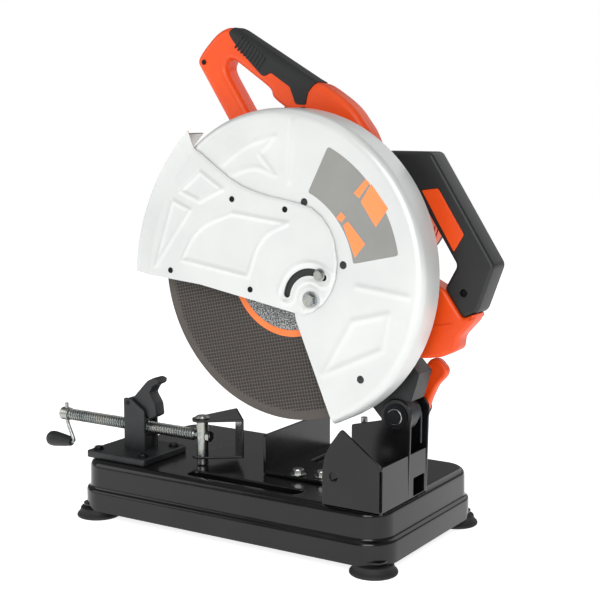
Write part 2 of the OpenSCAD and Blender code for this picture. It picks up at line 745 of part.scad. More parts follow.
// moving guard, its rim centred on its own pivot
module mguard_face_2d() {
    difference() {
        union() {
            intersection() {
                polygon(mguard_edge);
                translate([swing_x, swing_z]) circle(swing_r);
            }
            translate([16, 17]) circle(64);
        }
        polygon([[60, -51], [-230, -12], [-230, -100], [60, -100]]);
    }
}
module guard_moving() {
    color("#d3d6d7") at_wheel() difference() {
        union() {
            slab(mguard_face, mguard_face + mguard_t) mguard_face_2d();
            slab(mguard_face, mguard_back) intersection() {
                difference() {
                    translate([swing_x, swing_z]) circle(swing_r);
                    translate([swing_x, swing_z]) circle(swing_r - mguard_t);
                }
                polygon([[swing_x, swing_z], [-230, -13.5], [-300, 40], [-180, 220], [-123, 151]]);
            }
        }
        rod_y(swing_x, swing_z, swing_bolt_r + run, -130, -110);
        slab(mguard_face - 1, mguard_face + 5) translate([swing_x, swing_z])
            sector_2d(stop_r - slot_half, stop_r + slot_half, 57, 176);
    }
}
module guard_rivets() {
    color("#4b4e50") at_wheel() for (p = [[-61, 81], [12, 72], [-152, -8], [-36, -23]])
        translate([p[0], mguard_face, p[1]]) rotate([90, 0, 0]) cylinder(h = 0.8, r1 = 3, r2 = 2);
}

// ---- spindle ----
module spindle_shaft() {
    color("#8b8f92") difference() {
        union() {
            rod_y(wheel_x, wheel_z, spindle_r - 0.03, wheel_near + 0.2, wheel_far + 8);
            rod_y(wheel_x, wheel_z, 10, wheel_far + 8, gear_y0);
            rod_y(wheel_x, wheel_z, 8, gear_y0, gear_y1 + 0.5);
            rod_y(wheel_x, wheel_z, 6, gear_y1 + 0.5, case_y1 - 2.5);
        }
        rod_y(wheel_x, wheel_z, 5, wheel_near - 1, wheel_far + 12);
    }
}
module flange_ring(y0, y1, hole) {
    difference() {
        rod_y(wheel_x, wheel_z, flange_d / 2, y0, y1);
        rod_y(wheel_x, wheel_z, hole, y0 - 1, y1 + 1);
        rod_y(wheel_x, wheel_z, flange_d / 2 - 10, y0 < wheel_y ? y1 - 1 : y0 - 1, y0 < wheel_y ? y1 + 1 : y0 + 1);
    }
}
module inner_flange() { color("#7e8285") flange_ring(wheel_far, wheel_far + 7.5, spindle_r); }
module outer_flange() { color("#7e8285") flange_ring(wheel_near - 6, wheel_near, 5); }
module cutting_wheel() {
    color("#3a3430") difference() {
        rod_y(wheel_x, wheel_z, wheel_d / 2, wheel_near, wheel_far);
        rod_y(wheel_x, wheel_z, spindle_r, wheel_near - 1, wheel_far + 1);
    }
}
module spindle_bolt() {
    color("silver") translate([wheel_x, 0, wheel_z]) {
        rod_y(0, 0, 5, wheel_near - 6, wheel_far + 11);
        rod_y(0, 0, 12, wheel_near - 8, wheel_near - 6);
        translate([0, wheel_near - 8, 0]) rotate([90, 0, 0]) cylinder(h = 7, r = 9.5, $fn = 6);
    }
}
module driven_gear() {
    color("#8b8f92") at_wheel() difference() {
        slab(gear_y0, gear_y1) gear_2d(gear_teeth, mesh_a);
        rod_y(0, 0, 8, gear_y0 - 1, gear_y1 + 1);
        for (i = [0 : 7]) rod_y(40 * cos(45 * i), 40 * sin(45 * i), 4.6, gear_y0 - 1, gear_y1 + 1);
    }
}
module armature_shaft() {
    color("#8b8f92") translate([wheel_x + motor_dx, 0, wheel_z + motor_dz]) union() {
        slab(gear_y0 - 1, gear_y1 + 1) gear_2d(pinion_teeth, mesh_a + 180 - 180 / pinion_teeth);
        rod_y(0, 0, 5, gear_y1 + 1, motor_y1 - 2);
        rod_y(0, 0, 4, motor_y1 - 2, motor_y1 + 8);
    }
}
module armature_core() {
    color("#6a5a48") translate([wheel_x + motor_dx, 0, wheel_z + motor_dz]) difference() {
        union() {
            rod_y(0, 0, 27, 0, 44);
            rod_y(0, 0, 20, -8, 52);
            rod_y(0, 0, 14, 64, 84);
        }
        rod_y(0, 0, 5, -20, 100);
    }
}
module cooling_fan() {
    color("#2a2b2d") translate([wheel_x + motor_dx, 0, wheel_z + motor_dz]) difference() {
        union() {
            rod_y(0, 0, 44, -14, -12);
            rod_y(0, 0, 10, -24, -12);
            for (i = [0 : 11]) rotate([0, 30 * i, 0]) translate([9, -24, -1]) cube([34, 10.5, 2]);
        }
        rod_y(0, 0, 5, -30, 0);
    }
}

base_pan();
foot_front_near();
foot_front_far();
foot_rear_near();
foot_rear_far();
foot_eyelets();
hinge_bracket();
bracket_bolts();
pivot_pin();
pivot_clip();
return_spring();
depth_stop_bolt();
vise_block();
vise_block_bolts();
lever_pin();
fence_bolts();
fence();
jaw_pin();
vise_screw();
screw_nut();
crank_rod();
crank_knob();
jaw_bracket();
half_nut_lever();
gear_case();
gear_cover();
motor_housing();
motor_end_cap();
rear_shroud();
handle_shell_near();
handle_shell_far();
grip_overmould();
handle_screws();
carry_handle();
carry_inset();
guard_fixed();
guard_decal();
guard_pivot_bolt();
guard_stop_bolt();
stator();
brush_caps();
switch_body();
cord_gland();
spindle_bearings();
armature_bearings();
guard_moving();
guard_rivets();
spindle_shaft();
inner_flange();
outer_flange();
cutting_wheel();
spindle_bolt();
driven_gear();
armature_shaft();
armature_core();
cooling_fan();
trigger();
lock_button();
spindle_lock();
latch_lever();
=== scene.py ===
# %% [markdown]
# # An abrasive chop saw, piece by piece
# A chop saw for metal is a pressed steel base with a screw vise and a fence, and a cutting
# head on a sprung hinge. This lesson dresses its measured model. Each cell makes one piece
# or one finish, says what it is on the real tool, and why it is made this way.
# Lengths are written in millimetres and turned to metres once, when a mesh is made.

import json
import math

import bmesh
import bpy
import numpy as np
from mathutils import Matrix, Vector


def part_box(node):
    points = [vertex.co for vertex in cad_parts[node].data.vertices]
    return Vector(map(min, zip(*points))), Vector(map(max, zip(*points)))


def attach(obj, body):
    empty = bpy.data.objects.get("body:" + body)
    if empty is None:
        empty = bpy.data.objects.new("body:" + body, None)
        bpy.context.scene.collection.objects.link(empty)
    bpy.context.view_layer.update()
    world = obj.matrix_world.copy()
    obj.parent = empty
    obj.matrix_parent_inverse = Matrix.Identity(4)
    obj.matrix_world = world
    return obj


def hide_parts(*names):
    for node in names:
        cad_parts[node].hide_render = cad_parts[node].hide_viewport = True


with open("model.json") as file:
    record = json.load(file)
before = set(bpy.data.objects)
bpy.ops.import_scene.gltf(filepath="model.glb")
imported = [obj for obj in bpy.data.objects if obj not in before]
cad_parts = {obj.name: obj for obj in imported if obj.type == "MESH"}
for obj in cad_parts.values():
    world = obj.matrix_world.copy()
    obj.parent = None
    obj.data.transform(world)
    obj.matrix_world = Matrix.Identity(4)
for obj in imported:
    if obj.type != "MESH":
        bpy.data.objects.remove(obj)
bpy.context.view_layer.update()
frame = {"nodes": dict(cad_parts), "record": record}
MM = 0.001

# %% [markdown]
# The camera comes first, so that every later step can be judged in the final view. It looks
# slightly down on the wheel side from the operator's left, through a long lens.

# %% Camera
CAMERA_AT = np.array([900.16, -1372.37, 526.0])
CAMERA_TURN = math.radians(32.15)
CAMERA_DOWN = math.radians(8.31)
cam = bpy.data.objects.new("camera", bpy.data.cameras.new("camera"))
bpy.context.scene.collection.objects.link(cam)
cam.data.sensor_width = 36.0
cam.data.lens = 78.65
cam.data.clip_end = 20.0
cam.location = CAMERA_AT * MM
cam.rotation_euler = (math.pi / 2 - CAMERA_DOWN, 0.0, CAMERA_TURN)
bpy.context.scene.camera = cam

# %% [markdown]
# Three places drive nearly everything: the wheel's axis, the hinge pin and the moving
# guard's pivot. They are read from the frame's joints, so the looks can't drift from it.

# %% Places taken from the frame
joints = frame["record"]["behaviour"]["joints"]
joint_at = {j["name"]: np.array(j.get("pos_m", (0, 0, 0))) / MM for j in joints}
WHEEL = joint_at["spindle_spin"]
HINGE = joint_at["head_plunge"]
SWING = joint_at["guard_swing"]


def node_box(name):
    """Lowest and highest corner of a CAD node, in millimetres."""
    low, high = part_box(name)
    return np.array(low) / MM, np.array(high) / MM


GUARD_LOW, GUARD_HIGH = node_box("guard_fixed")
SHELL_LOW, SHELL_HIGH = node_box("guard_moving")
print("wheel axis", WHEEL.round(1), "hinge", HINGE.round(1))

# %% [markdown]
# Materials are small node networks. One helper adds a node with its settings and its links,
# and colours are the hex values a paint or moulding shop would quote.

# %% Material helpers
def linear(hex_colour):
    """sRGB hex to linear RGBA: c/12.92 below 0.04045, else ((c + 0.055) / 1.055) to the power 2.4."""
    c = np.array([int(hex_colour[i:i + 2], 16) for i in (1, 3, 5)]) / 255
    c = np.where(c <= 0.04045, c / 12.92, ((c + 0.055) / 1.055) ** 2.4)
    return (*c.tolist(), 1.0)


def add(tree, kind, inputs=None, **settings):
    """Adds one node: settings are its properties, inputs are values or output sockets to link."""
    node = tree.nodes.new(kind)
    for key, value in settings.items():
        setattr(node, key, value)
    for key, value in (inputs or {}).items():
        if isinstance(value, bpy.types.NodeSocket):
            tree.links.new(value, node.inputs[key])
        else:
            node.inputs[key].default_value = value
    return node


def finish_of(name, base, roughness, metallic=0.0, **shader):
    """A new material with one Principled shader, whose constants sit on the shader's own sockets."""
    mat = bpy.data.materials.new(name)
    mat.use_nodes = True
    tree = mat.node_tree
    bsdf = tree.nodes["Principled BSDF"]
    bsdf.inputs["Base Color"].default_value = linear(base)
    bsdf.inputs["Roughness"].default_value = roughness
    bsdf.inputs["Metallic"].default_value = metallic
    for key, value in shader.items():
        bsdf.inputs[key.replace("_", " ")].default_value = value
    where = add(tree, "ShaderNodeTexCoord").outputs["Object"]
    return mat, tree, bsdf, where


def paint(tree, bsdf, fac, *stops):
    """Colours the shader by fac, through a ramp whose stops are (position, hex colour)."""
    node = add(tree, "ShaderNodeValToRGB", {"Fac": fac})
    while len(node.color_ramp.elements) < len(stops):
        node.color_ramp.elements.new(0.5)
    for element, (place, colour) in zip(node.color_ramp.elements, stops):
        element.position = place
        element.color = linear(colour)
    tree.links.new(node.outputs["Color"], bsdf.inputs["Base Color"])


def noise(tree, where, size_mm, detail=3.0, stretch=None):
    """Noise whose blobs are about size_mm across; stretch scales the pattern along each axis."""
    if stretch is not None:
        where = add(tree, "ShaderNodeMapping", {"Vector": where, "Scale": stretch}).outputs["Vector"]
    return add(tree, "ShaderNodeTexNoise",
               {"Vector": where, "Scale": 1.0 / (size_mm * MM), "Detail": detail}).outputs["Fac"]


def bump(tree, bsdf, height, depth_mm, strength=0.3, under=None):
    """Feeds a height into the shader's normal, optionally on top of another bump."""
    inputs = {"Height": height, "Distance": depth_mm * MM, "Strength": strength}
    if under is not None:
        inputs["Normal"] = under
    node = add(tree, "ShaderNodeBump", inputs)
    tree.links.new(node.outputs["Normal"], bsdf.inputs["Normal"])
    return node.outputs["Normal"]


def spread(tree, fac, low, high):
    """Maps a 0 to 1 value onto low to high."""
    return add(tree, "ShaderNodeMapRange", {"Value": fac, "To Min": low, "To Max": high}).outputs["Result"]


# %% [markdown]
# The sheet parts of the base are black stoving enamel: glossy, with a faint orange-peel
# ripple a few millimetres across, and the odd duller patch where dust has settled.

# %% Enamels and paints
def gloss_enamel():
    """Black stoving enamel on pressed steel: glossy, with a low orange-peel ripple."""
    mat, tree, bsdf, where = finish_of("black_stoving_enamel", "#0c0c0d", 0.18, IOR=1.42)
    dust = noise(tree, where, 40, 4)
    tree.links.new(spread(tree, dust, 0.12, 0.3), bsdf.inputs["Roughness"])
    paint(tree, bsdf, dust, (0.35, "#0a0a0b"), (0.7, "#121213"))
    bump(tree, bsdf, noise(tree, where, 7, 1), 0.25, 0.12)
    return mat


def satin_casting():
    """Black satin paint over a cast surface: fine sand texture shows through."""
    mat, tree, bsdf, where = finish_of("satin_painted_casting", "#17181a", 0.48, IOR=1.5)
    grain = noise(tree, where, 1.6, 5)
    paint(tree, bsdf, noise(tree, where, 30, 3), (0.3, "#131415"), (0.75, "#202225"))
    bump(tree, bsdf, grain, 0.3, 0.35)
    return mat


def silver_paint(name="silver_guard_paint", base="#d5d7d6"):
    """Silver lacquer on pressed sheet: fine flake, partly metallic, with slow cloudy changes of shade."""
    mat, tree, bsdf, where = finish_of(name, base, 0.42, 0.3, Coat_Weight=0.15, Coat_Roughness=0.25)
    cloud = noise(tree, where, 90, 4)
    flake = noise(tree, where, 0.9, 2)
    paint(tree, bsdf, cloud, (0.3, "#cfd1d0"), (0.7, "#d9dbd9"))
    tree.links.new(spread(tree, flake, 0.36, 0.5), bsdf.inputs["Roughness"])
    bump(tree, bsdf, flake, 0.08, 0.15)
    return mat


# %% [markdown]
# Fasteners and the vise screw are zinc plated: a bright, faintly yellow-blue metal. Inner
# shafts and gears are bare turned steel, greyer and with fine tool marks.

# %% Metals
def zinc_plate():
    """Bright zinc plate on turned steel: silver with a cloudy bluish to yellowish passivation."""
    mat, tree, bsdf, where = finish_of("bright_zinc_plate", "#9da19e", 0.27, 1.0)
    cloud = noise(tree, where, 9, 4)
    paint(tree, bsdf, cloud, (0.3, "#858d8f"), (0.55, "#a9aba7"), (0.8, "#a29e8f"))
    tree.links.new(spread(tree, noise(tree, where, 3, 3), 0.2, 0.4), bsdf.inputs["Roughness"])
    bump(tree, bsdf, noise(tree, where, 1.2, 3), 0.1, 0.15)
    return mat


def turned_steel(name="turned_steel", base="#8d9194", rough=0.32):
    """Bare turned steel: grey, with fine marks round the axis, here drawn across Y."""
    mat, tree, bsdf, where = finish_of(name, base, rough, 1.0)
    marks = noise(tree, where, 6, 3, stretch=(0.15, 6.0, 0.15))
    tree.links.new(spread(tree, marks, rough - 0.08, rough + 0.14), bsdf.inputs["Roughness"])
    bump(tree, bsdf, marks, 0.1, 0.15)
    return mat


# %% [markdown]
# The handles and the motor housing are glass-filled nylon, moulded in orange or black. It
# is satin with a fine spark-eroded texture. The grip and the feet are a softer rubber.

# %% Mouldings and rubbers
def moulded(name, dark, light, rough, texture_mm=0.8, depth=0.25):
    """Textured moulding: a fine eroded grain and a slow change of shade across the part."""
    mat, tree, bsdf, where = finish_of(name, light, rough, IOR=1.5)
    paint(tree, bsdf, noise(tree, where, 60, 3), (0.3, dark), (0.75, light))
    grain = noise(tree, where, texture_mm, 4)
    tree.links.new(spread(tree, grain, rough - 0.06, rough + 0.08), bsdf.inputs["Roughness"])
    bump(tree, bsdf, grain, 0.12, depth)
    return mat


ENAMEL = gloss_enamel()
CASTING = satin_casting()
SILVER = silver_paint()
ZINC = zinc_plate()
STEEL = turned_steel()
SPRING = turned_steel("oiled_spring_steel", "#4c5053", 0.4)
COPPER = turned_steel("varnished_copper", "#a3643a", 0.4)
DARK_SCREW = turned_steel("blackened_steel", "#2a2b2d", 0.42)
ORANGE = moulded("orange_nylon", "#dd4400", "#e94e04", 0.42)
BLACK_NYLON = moulded("black_nylon", "#141516", "#1f2022", 0.5)
RUBBER = moulded("moulded_rubber", "#121213", "#1c1c1d", 0.68, 1.2)
GRIP_FINISH = moulded("soft_grip_rubber", "#101112", "#1a1b1c", 0.6, 1.0)
DECAL_GREY = moulded("printed_film_grey", "#82837f", "#8e8e8b", 0.38, 2.0, 0.05)
DECAL_ORANGE = moulded("printed_film_orange", "#f0854a", "#f79459", 0.38, 2.0, 0.05)
print("finishes:", len(bpy.data.materials))

# %% [markdown]
# The bonded wheel is resin and grit, dark brown-grey, with a glass-fibre net pressed into
# each face. The net's cells are about 4 mm and show as small dents between crossing strands.
# Two sine waves at right angles give the net, and a ring mask keeps it off the plain edge.

# %% Wheel finishes
def ring_mask(tree, where, radius_mm, soft_mm):
    """1 inside radius_mm about the wheel's axis, 0 outside: the length of X and Z, mapped across soft_mm."""
    moved = add(tree, "ShaderNodeMapping", {"Vector": where,
                                            "Location": tuple(-WHEEL * MM)}).outputs["Vector"]
    flat = add(tree, "ShaderNodeVectorMath", {0: moved, 1: (1.0, 0.0, 1.0)},
               operation="MULTIPLY").outputs["Vector"]
    length = add(tree, "ShaderNodeVectorMath", {0: flat}, operation="LENGTH").outputs["Value"]
    return add(tree, "ShaderNodeMapRange",
               {"Value": length, "From Min": (radius_mm + soft_mm) * MM,
                "From Max": radius_mm * MM}).outputs["Result"]


def strands(tree, where, direction, pitch_mm):
    """Parallel strands: a sine of the position along direction, one wave per pitch."""
    return add(tree, "ShaderNodeTexWave", {"Vector": where, "Scale": math.tau / (20 * pitch_mm * MM),
                                           "Distortion": 0.6,
               "Detail": 1.0, "Detail Scale": 2.0}, bands_direction=direction).outputs["Fac"]


def bonded_abrasive():
    """Resin-bonded grit with a pressed glass-fibre net: dents show dark between paler strands."""
    mat, tree, bsdf, where = finish_of("bonded_abrasive", "#4a4541", 0.82, IOR=1.5)
    cloth = add(tree, "ShaderNodeMapping", {"Vector": where, "Rotation": (0.0, 0.22, 0.0)}).outputs["Vector"]
    net = add(tree, "ShaderNodeMath", {0: strands(tree, cloth, "X", 4.0), 1: strands(tree, cloth, "Z", 4.0)},
              operation="MULTIPLY").outputs["Value"]
    inner = ring_mask(tree, where, 163, 5)
    dents = add(tree, "ShaderNodeMath", {0: net, 1: inner}, operation="MULTIPLY").outputs["Value"]
    grit = noise(tree, where, 1.1, 4)
    weak = add(tree, "ShaderNodeMath", {0: grit, 1: 0.35}, operation="MULTIPLY").outputs["Value"]
    both = add(tree, "ShaderNodeMath", {0: weak, 1: dents}, operation="SUBTRACT").outputs["Value"]
    paint(tree, bsdf, both, (0.0, "#2b2826"), (0.12, "#4b4642"), (0.3, "#5d5751"))
    bump(tree, bsdf, both, 0.6, 0.5)
    return mat


def speckled_label():
    """Grey printed paper label, rubbed so that grit shows through as black and pale specks."""
    mat, tree, bsdf, where = finish_of("speckled_paper_label", "#5d5f60", 0.75, IOR=1.5)
    paint(tree, bsdf, noise(tree, where, 1.6, 5), (0.38, "#26282a"), (0.5, "#686b6c"), (0.62, "#b4b6b4"))
    bump(tree, bsdf, noise(tree, where, 1.2, 3), 0.2, 0.3)
    return mat


WHEEL_GRIT = bonded_abrasive()
LABEL_GREY = speckled_label()
LABEL_ORANGE = moulded("label_orange_paper", "#e0672c", "#f58a4b", 0.7, 1.6, 0.3)
print("wheel finishes ready")

# %% [markdown]
# Every new piece is a surface worked out as whole arrays. These helpers round a polygon,
# move an outline inwards, carry a profile round an axis, and put the result on its body.

# %% Shape helpers
def unit(v):
    """Vectors divided by their lengths."""
    return v / np.maximum(np.linalg.norm(v, axis=-1, keepdims=True), 1e-9)


def soften(points, radius, closed=True, steps=6):
    """Corner P becomes (1-s)^2 A + 2s(1-s) P + s^2 B, with A and B at most radius away along its sides."""
    p = np.array(points, float)

    def along(q):
        side = np.linalg.norm(q - p, axis=1, keepdims=True)
        return p + unit(q - p) * np.minimum(np.reshape(radius, (-1, 1)), side / 2)

    a, b = along(np.roll(p, 1, 0)), along(np.roll(p, -1, 0))
    s = np.linspace(0, 1, steps)[None, :, None]
    curve = (1 - s) ** 2 * a[:, None] + 2 * s * (1 - s) * p[:, None] + s ** 2 * b[:, None]
    if not closed:
        curve[0], curve[-1] = p[0], p[-1]
    curve = curve.reshape(-1, 2)
    gaps = np.linalg.norm(curve - np.roll(curve, 1, 0), axis=1)
    return curve[gaps > 1e-3] if closed else np.vstack([curve[:1], curve[1:][gaps[1:] > 1e-3]])


def anticlockwise(outline):
    """The same outline with a positive area: half the sum of x times the next y less y times the next x."""
    p, q = np.asarray(outline, float), np.roll(outline, -1, 0)
    return p if (p[:, 0] * q[:, 1] - p[:, 1] * q[:, 0]).sum() > 0 else p[::-1]


def inset(outline, distance):
    """Each point moves along the mean of its sides' inward normals, by distance / cos(half the turn)."""
    n1 = unit(outline - np.roll(outline, 1, 0))[:, ::-1] * (-1, 1)
    n2 = unit(np.roll(outline, -1, 0) - outline)[:, ::-1] * (-1, 1)
    mean = unit(n1 + n2)
    return outline + mean * distance / np.maximum((mean * n1).sum(1, keepdims=True), 0.5)


def circle(x, z, r, count=32):
    """Points evenly spaced round a circle."""
    a = np.linspace(0, math.tau, count, endpoint=False)
    return np.stack([x + r * np.cos(a), z + r * np.sin(a)], 1)


def arc(x, z, r, start, end, count=24):
    """Points on an arc from start to end, in degrees."""
    a = np.radians(np.linspace(start, end, count))
    return np.stack([x + r * np.cos(a), z + r * np.sin(a)], 1)


def spread_axes(u, v, w, axis):
    """Puts a flat pair (u, v) and a height w along the named axis into X, Y, Z."""
    u, v, w = np.broadcast_arrays(u, v, w)
    order = {"x": (w, u, v), "y": (u, w, v), "z": (u, v, w)}[axis]
    return np.stack(order, -1)


def grid_faces(rows, cols, wrap_rows=False, wrap_cols=True):
    """Quads between neighbours of a grid, wrapped where the surface closes on itself."""
    i, j = np.meshgrid(np.arange(rows if wrap_rows else rows - 1), np.arange(cols if wrap_cols else cols - 1),
                       indexing="ij")
    i2, j2 = (i + 1) % rows, (j + 1) % cols
    return np.stack([i * cols + j, i2 * cols + j, i2 * cols + j2, i * cols + j2], -1).reshape(-1, 4)


def mesh_of(points, faces):
    """A mesh from millimetre points, with doubles merged and normals made to face outwards."""
    mesh = bpy.data.meshes.new("surface")
    mesh.from_pydata((points.reshape(-1, 3) * MM).tolist(), [], faces.tolist())
    return closed(mesh)


def closed(mesh):
    """Merges doubles, drops flat faces left by them, and turns all faces outwards."""
    bm = bmesh.new()
    bm.from_mesh(mesh)
    bmesh.ops.remove_doubles(bm, verts=bm.verts, dist=2e-6)
    bmesh.ops.dissolve_degenerate(bm, edges=bm.edges, dist=1e-6)
    bmesh.ops.recalc_face_normals(bm, faces=bm.faces)
    bm.to_mesh(mesh)
    bm.free()
    return mesh


def lathe(profile, centre, axis, count=96, ring=False):
    """Each profile point (radius, height) carried round the axis; ring=True closes the profile on itself."""
    r, h = np.asarray(profile, float).T[..., None]
    a = np.linspace(0, math.tau, count, endpoint=False)
    points = spread_axes(r * np.cos(a), r * np.sin(a), h, axis) + np.asarray(centre, float)
    return mesh_of(points, grid_faces(len(profile), count, wrap_rows=ring))


def plate(outline, low, high, edge, holes=(), axis="y", steps=4):
    """An outline carried through its thickness, with holes: every edge is a quarter circle of radius edge."""
    phi = np.linspace(0, math.pi / 2, steps + 1)
    d, h = edge * (1 - np.sin(phi)), edge * (1 - np.cos(phi))
    d = np.concatenate([[edge + 0.4], d, d[::-1], [edge + 0.4]])
    h = np.concatenate([[low], low + h, high - h[::-1], [high]])
    bm = bmesh.new()
    rims = [[], []]
    for sign, loop in [(1, outline)] + [(-1, hole) for hole in holes]:
        loop = anticlockwise(loop)
        rings = np.stack([inset(loop, sign * k) for k in d])
        points = spread_axes(rings[..., 0], rings[..., 1], h[:, None], axis).reshape(-1, 3) * MM
        verts = [bm.verts.new(p) for p in points.tolist()]
        for quad in grid_faces(len(d), len(loop)).tolist():
            bm.faces.new([verts[k] for k in quad])
        for side, start in ((0, 0), (1, len(verts) - len(loop))):
            ring = verts[start:start + len(loop)]
            rims[side] += [bm.edges.get(pair) for pair in zip(ring, ring[1:] + ring[:1])]
    for rim in rims:
        bmesh.ops.triangle_fill(bm, use_beauty=True, edges=rim)
    mesh = bpy.data.meshes.new("plate")
    bm.to_mesh(mesh)
    bm.free()
    return closed(mesh)


def tube(path, radius, count=20):
    """Round rod along a path in a plane of constant Y, with domed ends."""
    p = np.asarray(path, float)
    t = unit(np.gradient(p, axis=0))
    side = np.cross(t, (0.0, 1.0, 0.0))
    dome = np.linspace(0, 1, 5)
    p = np.vstack([p[0] - t[0] * radius * (1 - dome[:-1, None]) * 0.6, p,
                   p[-1] + t[-1] * radius * dome[1:, None] * 0.6])
    r = np.concatenate([np.sqrt(1 - (1 - dome[:-1]) ** 2), np.ones(len(t)),
                        np.sqrt(1 - dome[1:] ** 2)]) * radius
    side = np.vstack([np.repeat(side[:1], 4, 0), side, np.repeat(side[-1:], 4, 0)])
    a = np.linspace(0, math.tau, count, endpoint=False)[None, :, None]
    points = p[:, None] + r[:, None, None] * (np.cos(a) * (0.0, 1.0, 0.0) + np.sin(a) * side[:, None])
    return mesh_of(points, grid_faces(len(p), count))


def boolean(mesh, other, operation="DIFFERENCE"):
    """Exact Boolean of two closed meshes, read back from the evaluated modifier."""
    first, second = bpy.data.objects.new("first", mesh), bpy.data.objects.new("second", other)
    for o in (first, second):
        bpy.context.scene.collection.objects.link(o)
    step = first.modifiers.new("cut", "BOOLEAN")
    step.operation, step.solver, step.object = operation, "EXACT", second
    result = bpy.data.meshes.new_from_object(first.evaluated_get(bpy.context.evaluated_depsgraph_get()))
    bpy.data.objects.remove(first)
    bpy.data.objects.remove(second)
    return closed(result)


def thicken(mesh, thickness_mm, front=(0.0, -1.0, 0.0)):
    """Gives an open sheet its thickness, on the side away from front, as a closed wall."""
    facing = np.empty(3 * len(mesh.polygons))
    area = np.empty(len(mesh.polygons))
    mesh.polygons.foreach_get("normal", facing)
    mesh.polygons.foreach_get("area", area)
    if (facing.reshape(-1, 3) @ np.array(front) * area).sum() < 0:
        mesh.flip_normals()
    sheet = bpy.data.objects.new("sheet", mesh)
    bpy.context.scene.collection.objects.link(sheet)
    wall = sheet.modifiers.new("wall", "SOLIDIFY")
    wall.thickness, wall.offset, wall.use_even_offset = thickness_mm * MM, -1.0, True
    result = bpy.data.meshes.new_from_object(sheet.evaluated_get(bpy.context.evaluated_depsgraph_get()))
    bpy.data.objects.remove(sheet)
    return result


def joined(*meshes):
    """Several meshes as one, such as the bolts of one flange."""
    bm = bmesh.new()
    for mesh in meshes:
        bm.from_mesh(mesh)
    result = bpy.data.meshes.new("joined")
    bm.to_mesh(result)
    bm.free()
    return result


def piece(name, mesh, finish, body, slot, *nodes, sharp=32):
    """The finished piece on its body: shaded smooth but for edges sharper than an angle."""
    mesh.materials.clear()
    mesh.materials.append(finish)
    mesh.polygons.foreach_set("use_smooth", np.ones(len(mesh.polygons), bool))
    mesh.set_sharp_from_angle(angle=math.radians(sharp))
    obj = bpy.data.objects.new(name, mesh)
    bpy.context.scene.collection.objects.link(obj)
    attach(obj, body)
    if nodes:
        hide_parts(*nodes)
    print(f"{name}: {len(mesh.vertices)} vertices")
    return obj


def from_wheel(points):
    """Outline given from the wheel's axis, moved to the frame's X and Z."""
    return np.asarray(points, float) + WHEEL[[0, 2]]


def at_wheel(x=0, z=0):
    """A centre given from the wheel's axis, moved to the frame."""
    return (WHEEL[0] + x, 0, WHEEL[2] + z)


def ridge(x, z, path, width, depth):
    """Height of a pressed ridge: depth times exp(-(distance to the path / width) squared)."""
    a, b = np.asarray(path, float)[:-1], np.asarray(path, float)[1:]
    p = np.stack([x, z], -1)[..., None, :]
    t = np.clip(((p - a) * (b - a)).sum(-1) / np.maximum(((b - a) ** 2).sum(-1), 1e-9), 0, 1)
    d = np.linalg.norm(p - (a + t[..., None] * (b - a)), axis=-1).min(-1)
    return depth * np.exp(-(d / width) ** 2)


print("helpers ready")

# %% [markdown]
# The fixed guard is one pressed sheet: a flat face with shallow pressed figures, a rounded
# shoulder, and a deep rim. It is a profile carried round the wheel's axis, with the figures
# added as ridges on the face, and then the open quarter is cut away.

# %% Fixed guard
GUARD_R = 186.0
FACE_R = 176.0
FACE_HOLES = ((87, 13), (110, -114), (36, 81))
FACE_Y, BACK_Y = GUARD_LOW[1], GUARD_HIGH[1]
ARROW = np.vstack([soften([(-66, 108), (-32, 121), (-3, 110)], 40, closed=False), [(-25, 134), (-4, 154)],
                   soften([(-4, 154), (-44, 144), (-76, 121)], 40, closed=False)])
LEAF = [(99, -50), (144, -38), (138, -78), (61, -114), (99, -50)]
FACE_FIGURES = [([(20, 171), (16, 104)], 3.6, 1.15), (ARROW, 2.6, 1.0), ([(105, -10), (168, -17)], 3.2, 1.1),
                (LEAF, 3.4, 1.1)]


def guard_shell():
    """Angle and radius grid: Y falls by the ridges, turns over the shoulder and runs back along the rim."""
    phi = np.linspace(0, math.pi / 2, 8)
    shoulder = GUARD_R - FACE_R
    r = np.concatenate([np.linspace(0, 34, 5), np.linspace(37, FACE_R, 64),
                        FACE_R + shoulder * np.sin(phi[1:]), [GUARD_R, GUARD_R, GUARD_R - 3, GUARD_R - 14]])
    y = np.concatenate([np.full(69, FACE_Y), FACE_Y + shoulder * (1 - np.cos(phi[1:])),
                        [FACE_Y + 26, BACK_Y - 2, BACK_Y, BACK_Y]])
    a = np.radians(np.linspace(-100, 182, 353))
    x, z = r[:, None] * np.cos(a), r[:, None] * np.sin(a)
    figures = sum(ridge(x, z, *figure) for figure in FACE_FIGURES) * (r < FACE_R)[:, None]
    points = spread_axes(x + WHEEL[0], z + WHEEL[2], y[:, None] - figures, "y")
    return thicken(mesh_of(points, grid_faces(len(r), len(a), wrap_cols=False)), 2.0)


OPENING = from_wheel([(25, -54), (72, -165), (95, -260), (-260, -260), (-260, 118), (-60, 40), (12, 8)])
shell = boolean(guard_shell(), plate(OPENING, FACE_Y - 20, BACK_Y + 20, 0.2))
for hx, hz in FACE_HOLES:
    shell = boolean(shell, plate(circle(WHEEL[0] + hx, WHEEL[2] + hz, 4.6, 24), FACE_Y - 5, FACE_Y + 5, 0.2))
piece("guard_fixed_pressing", shell, SILVER, "head", "silver_paint", "guard_fixed")

# %% [markdown]
# Behind the wheel a flat disc closes the guard and bolts it to the gear case. It is a plate
# with a hole for the spindle, and plastic plugs fill the face's spare holes.

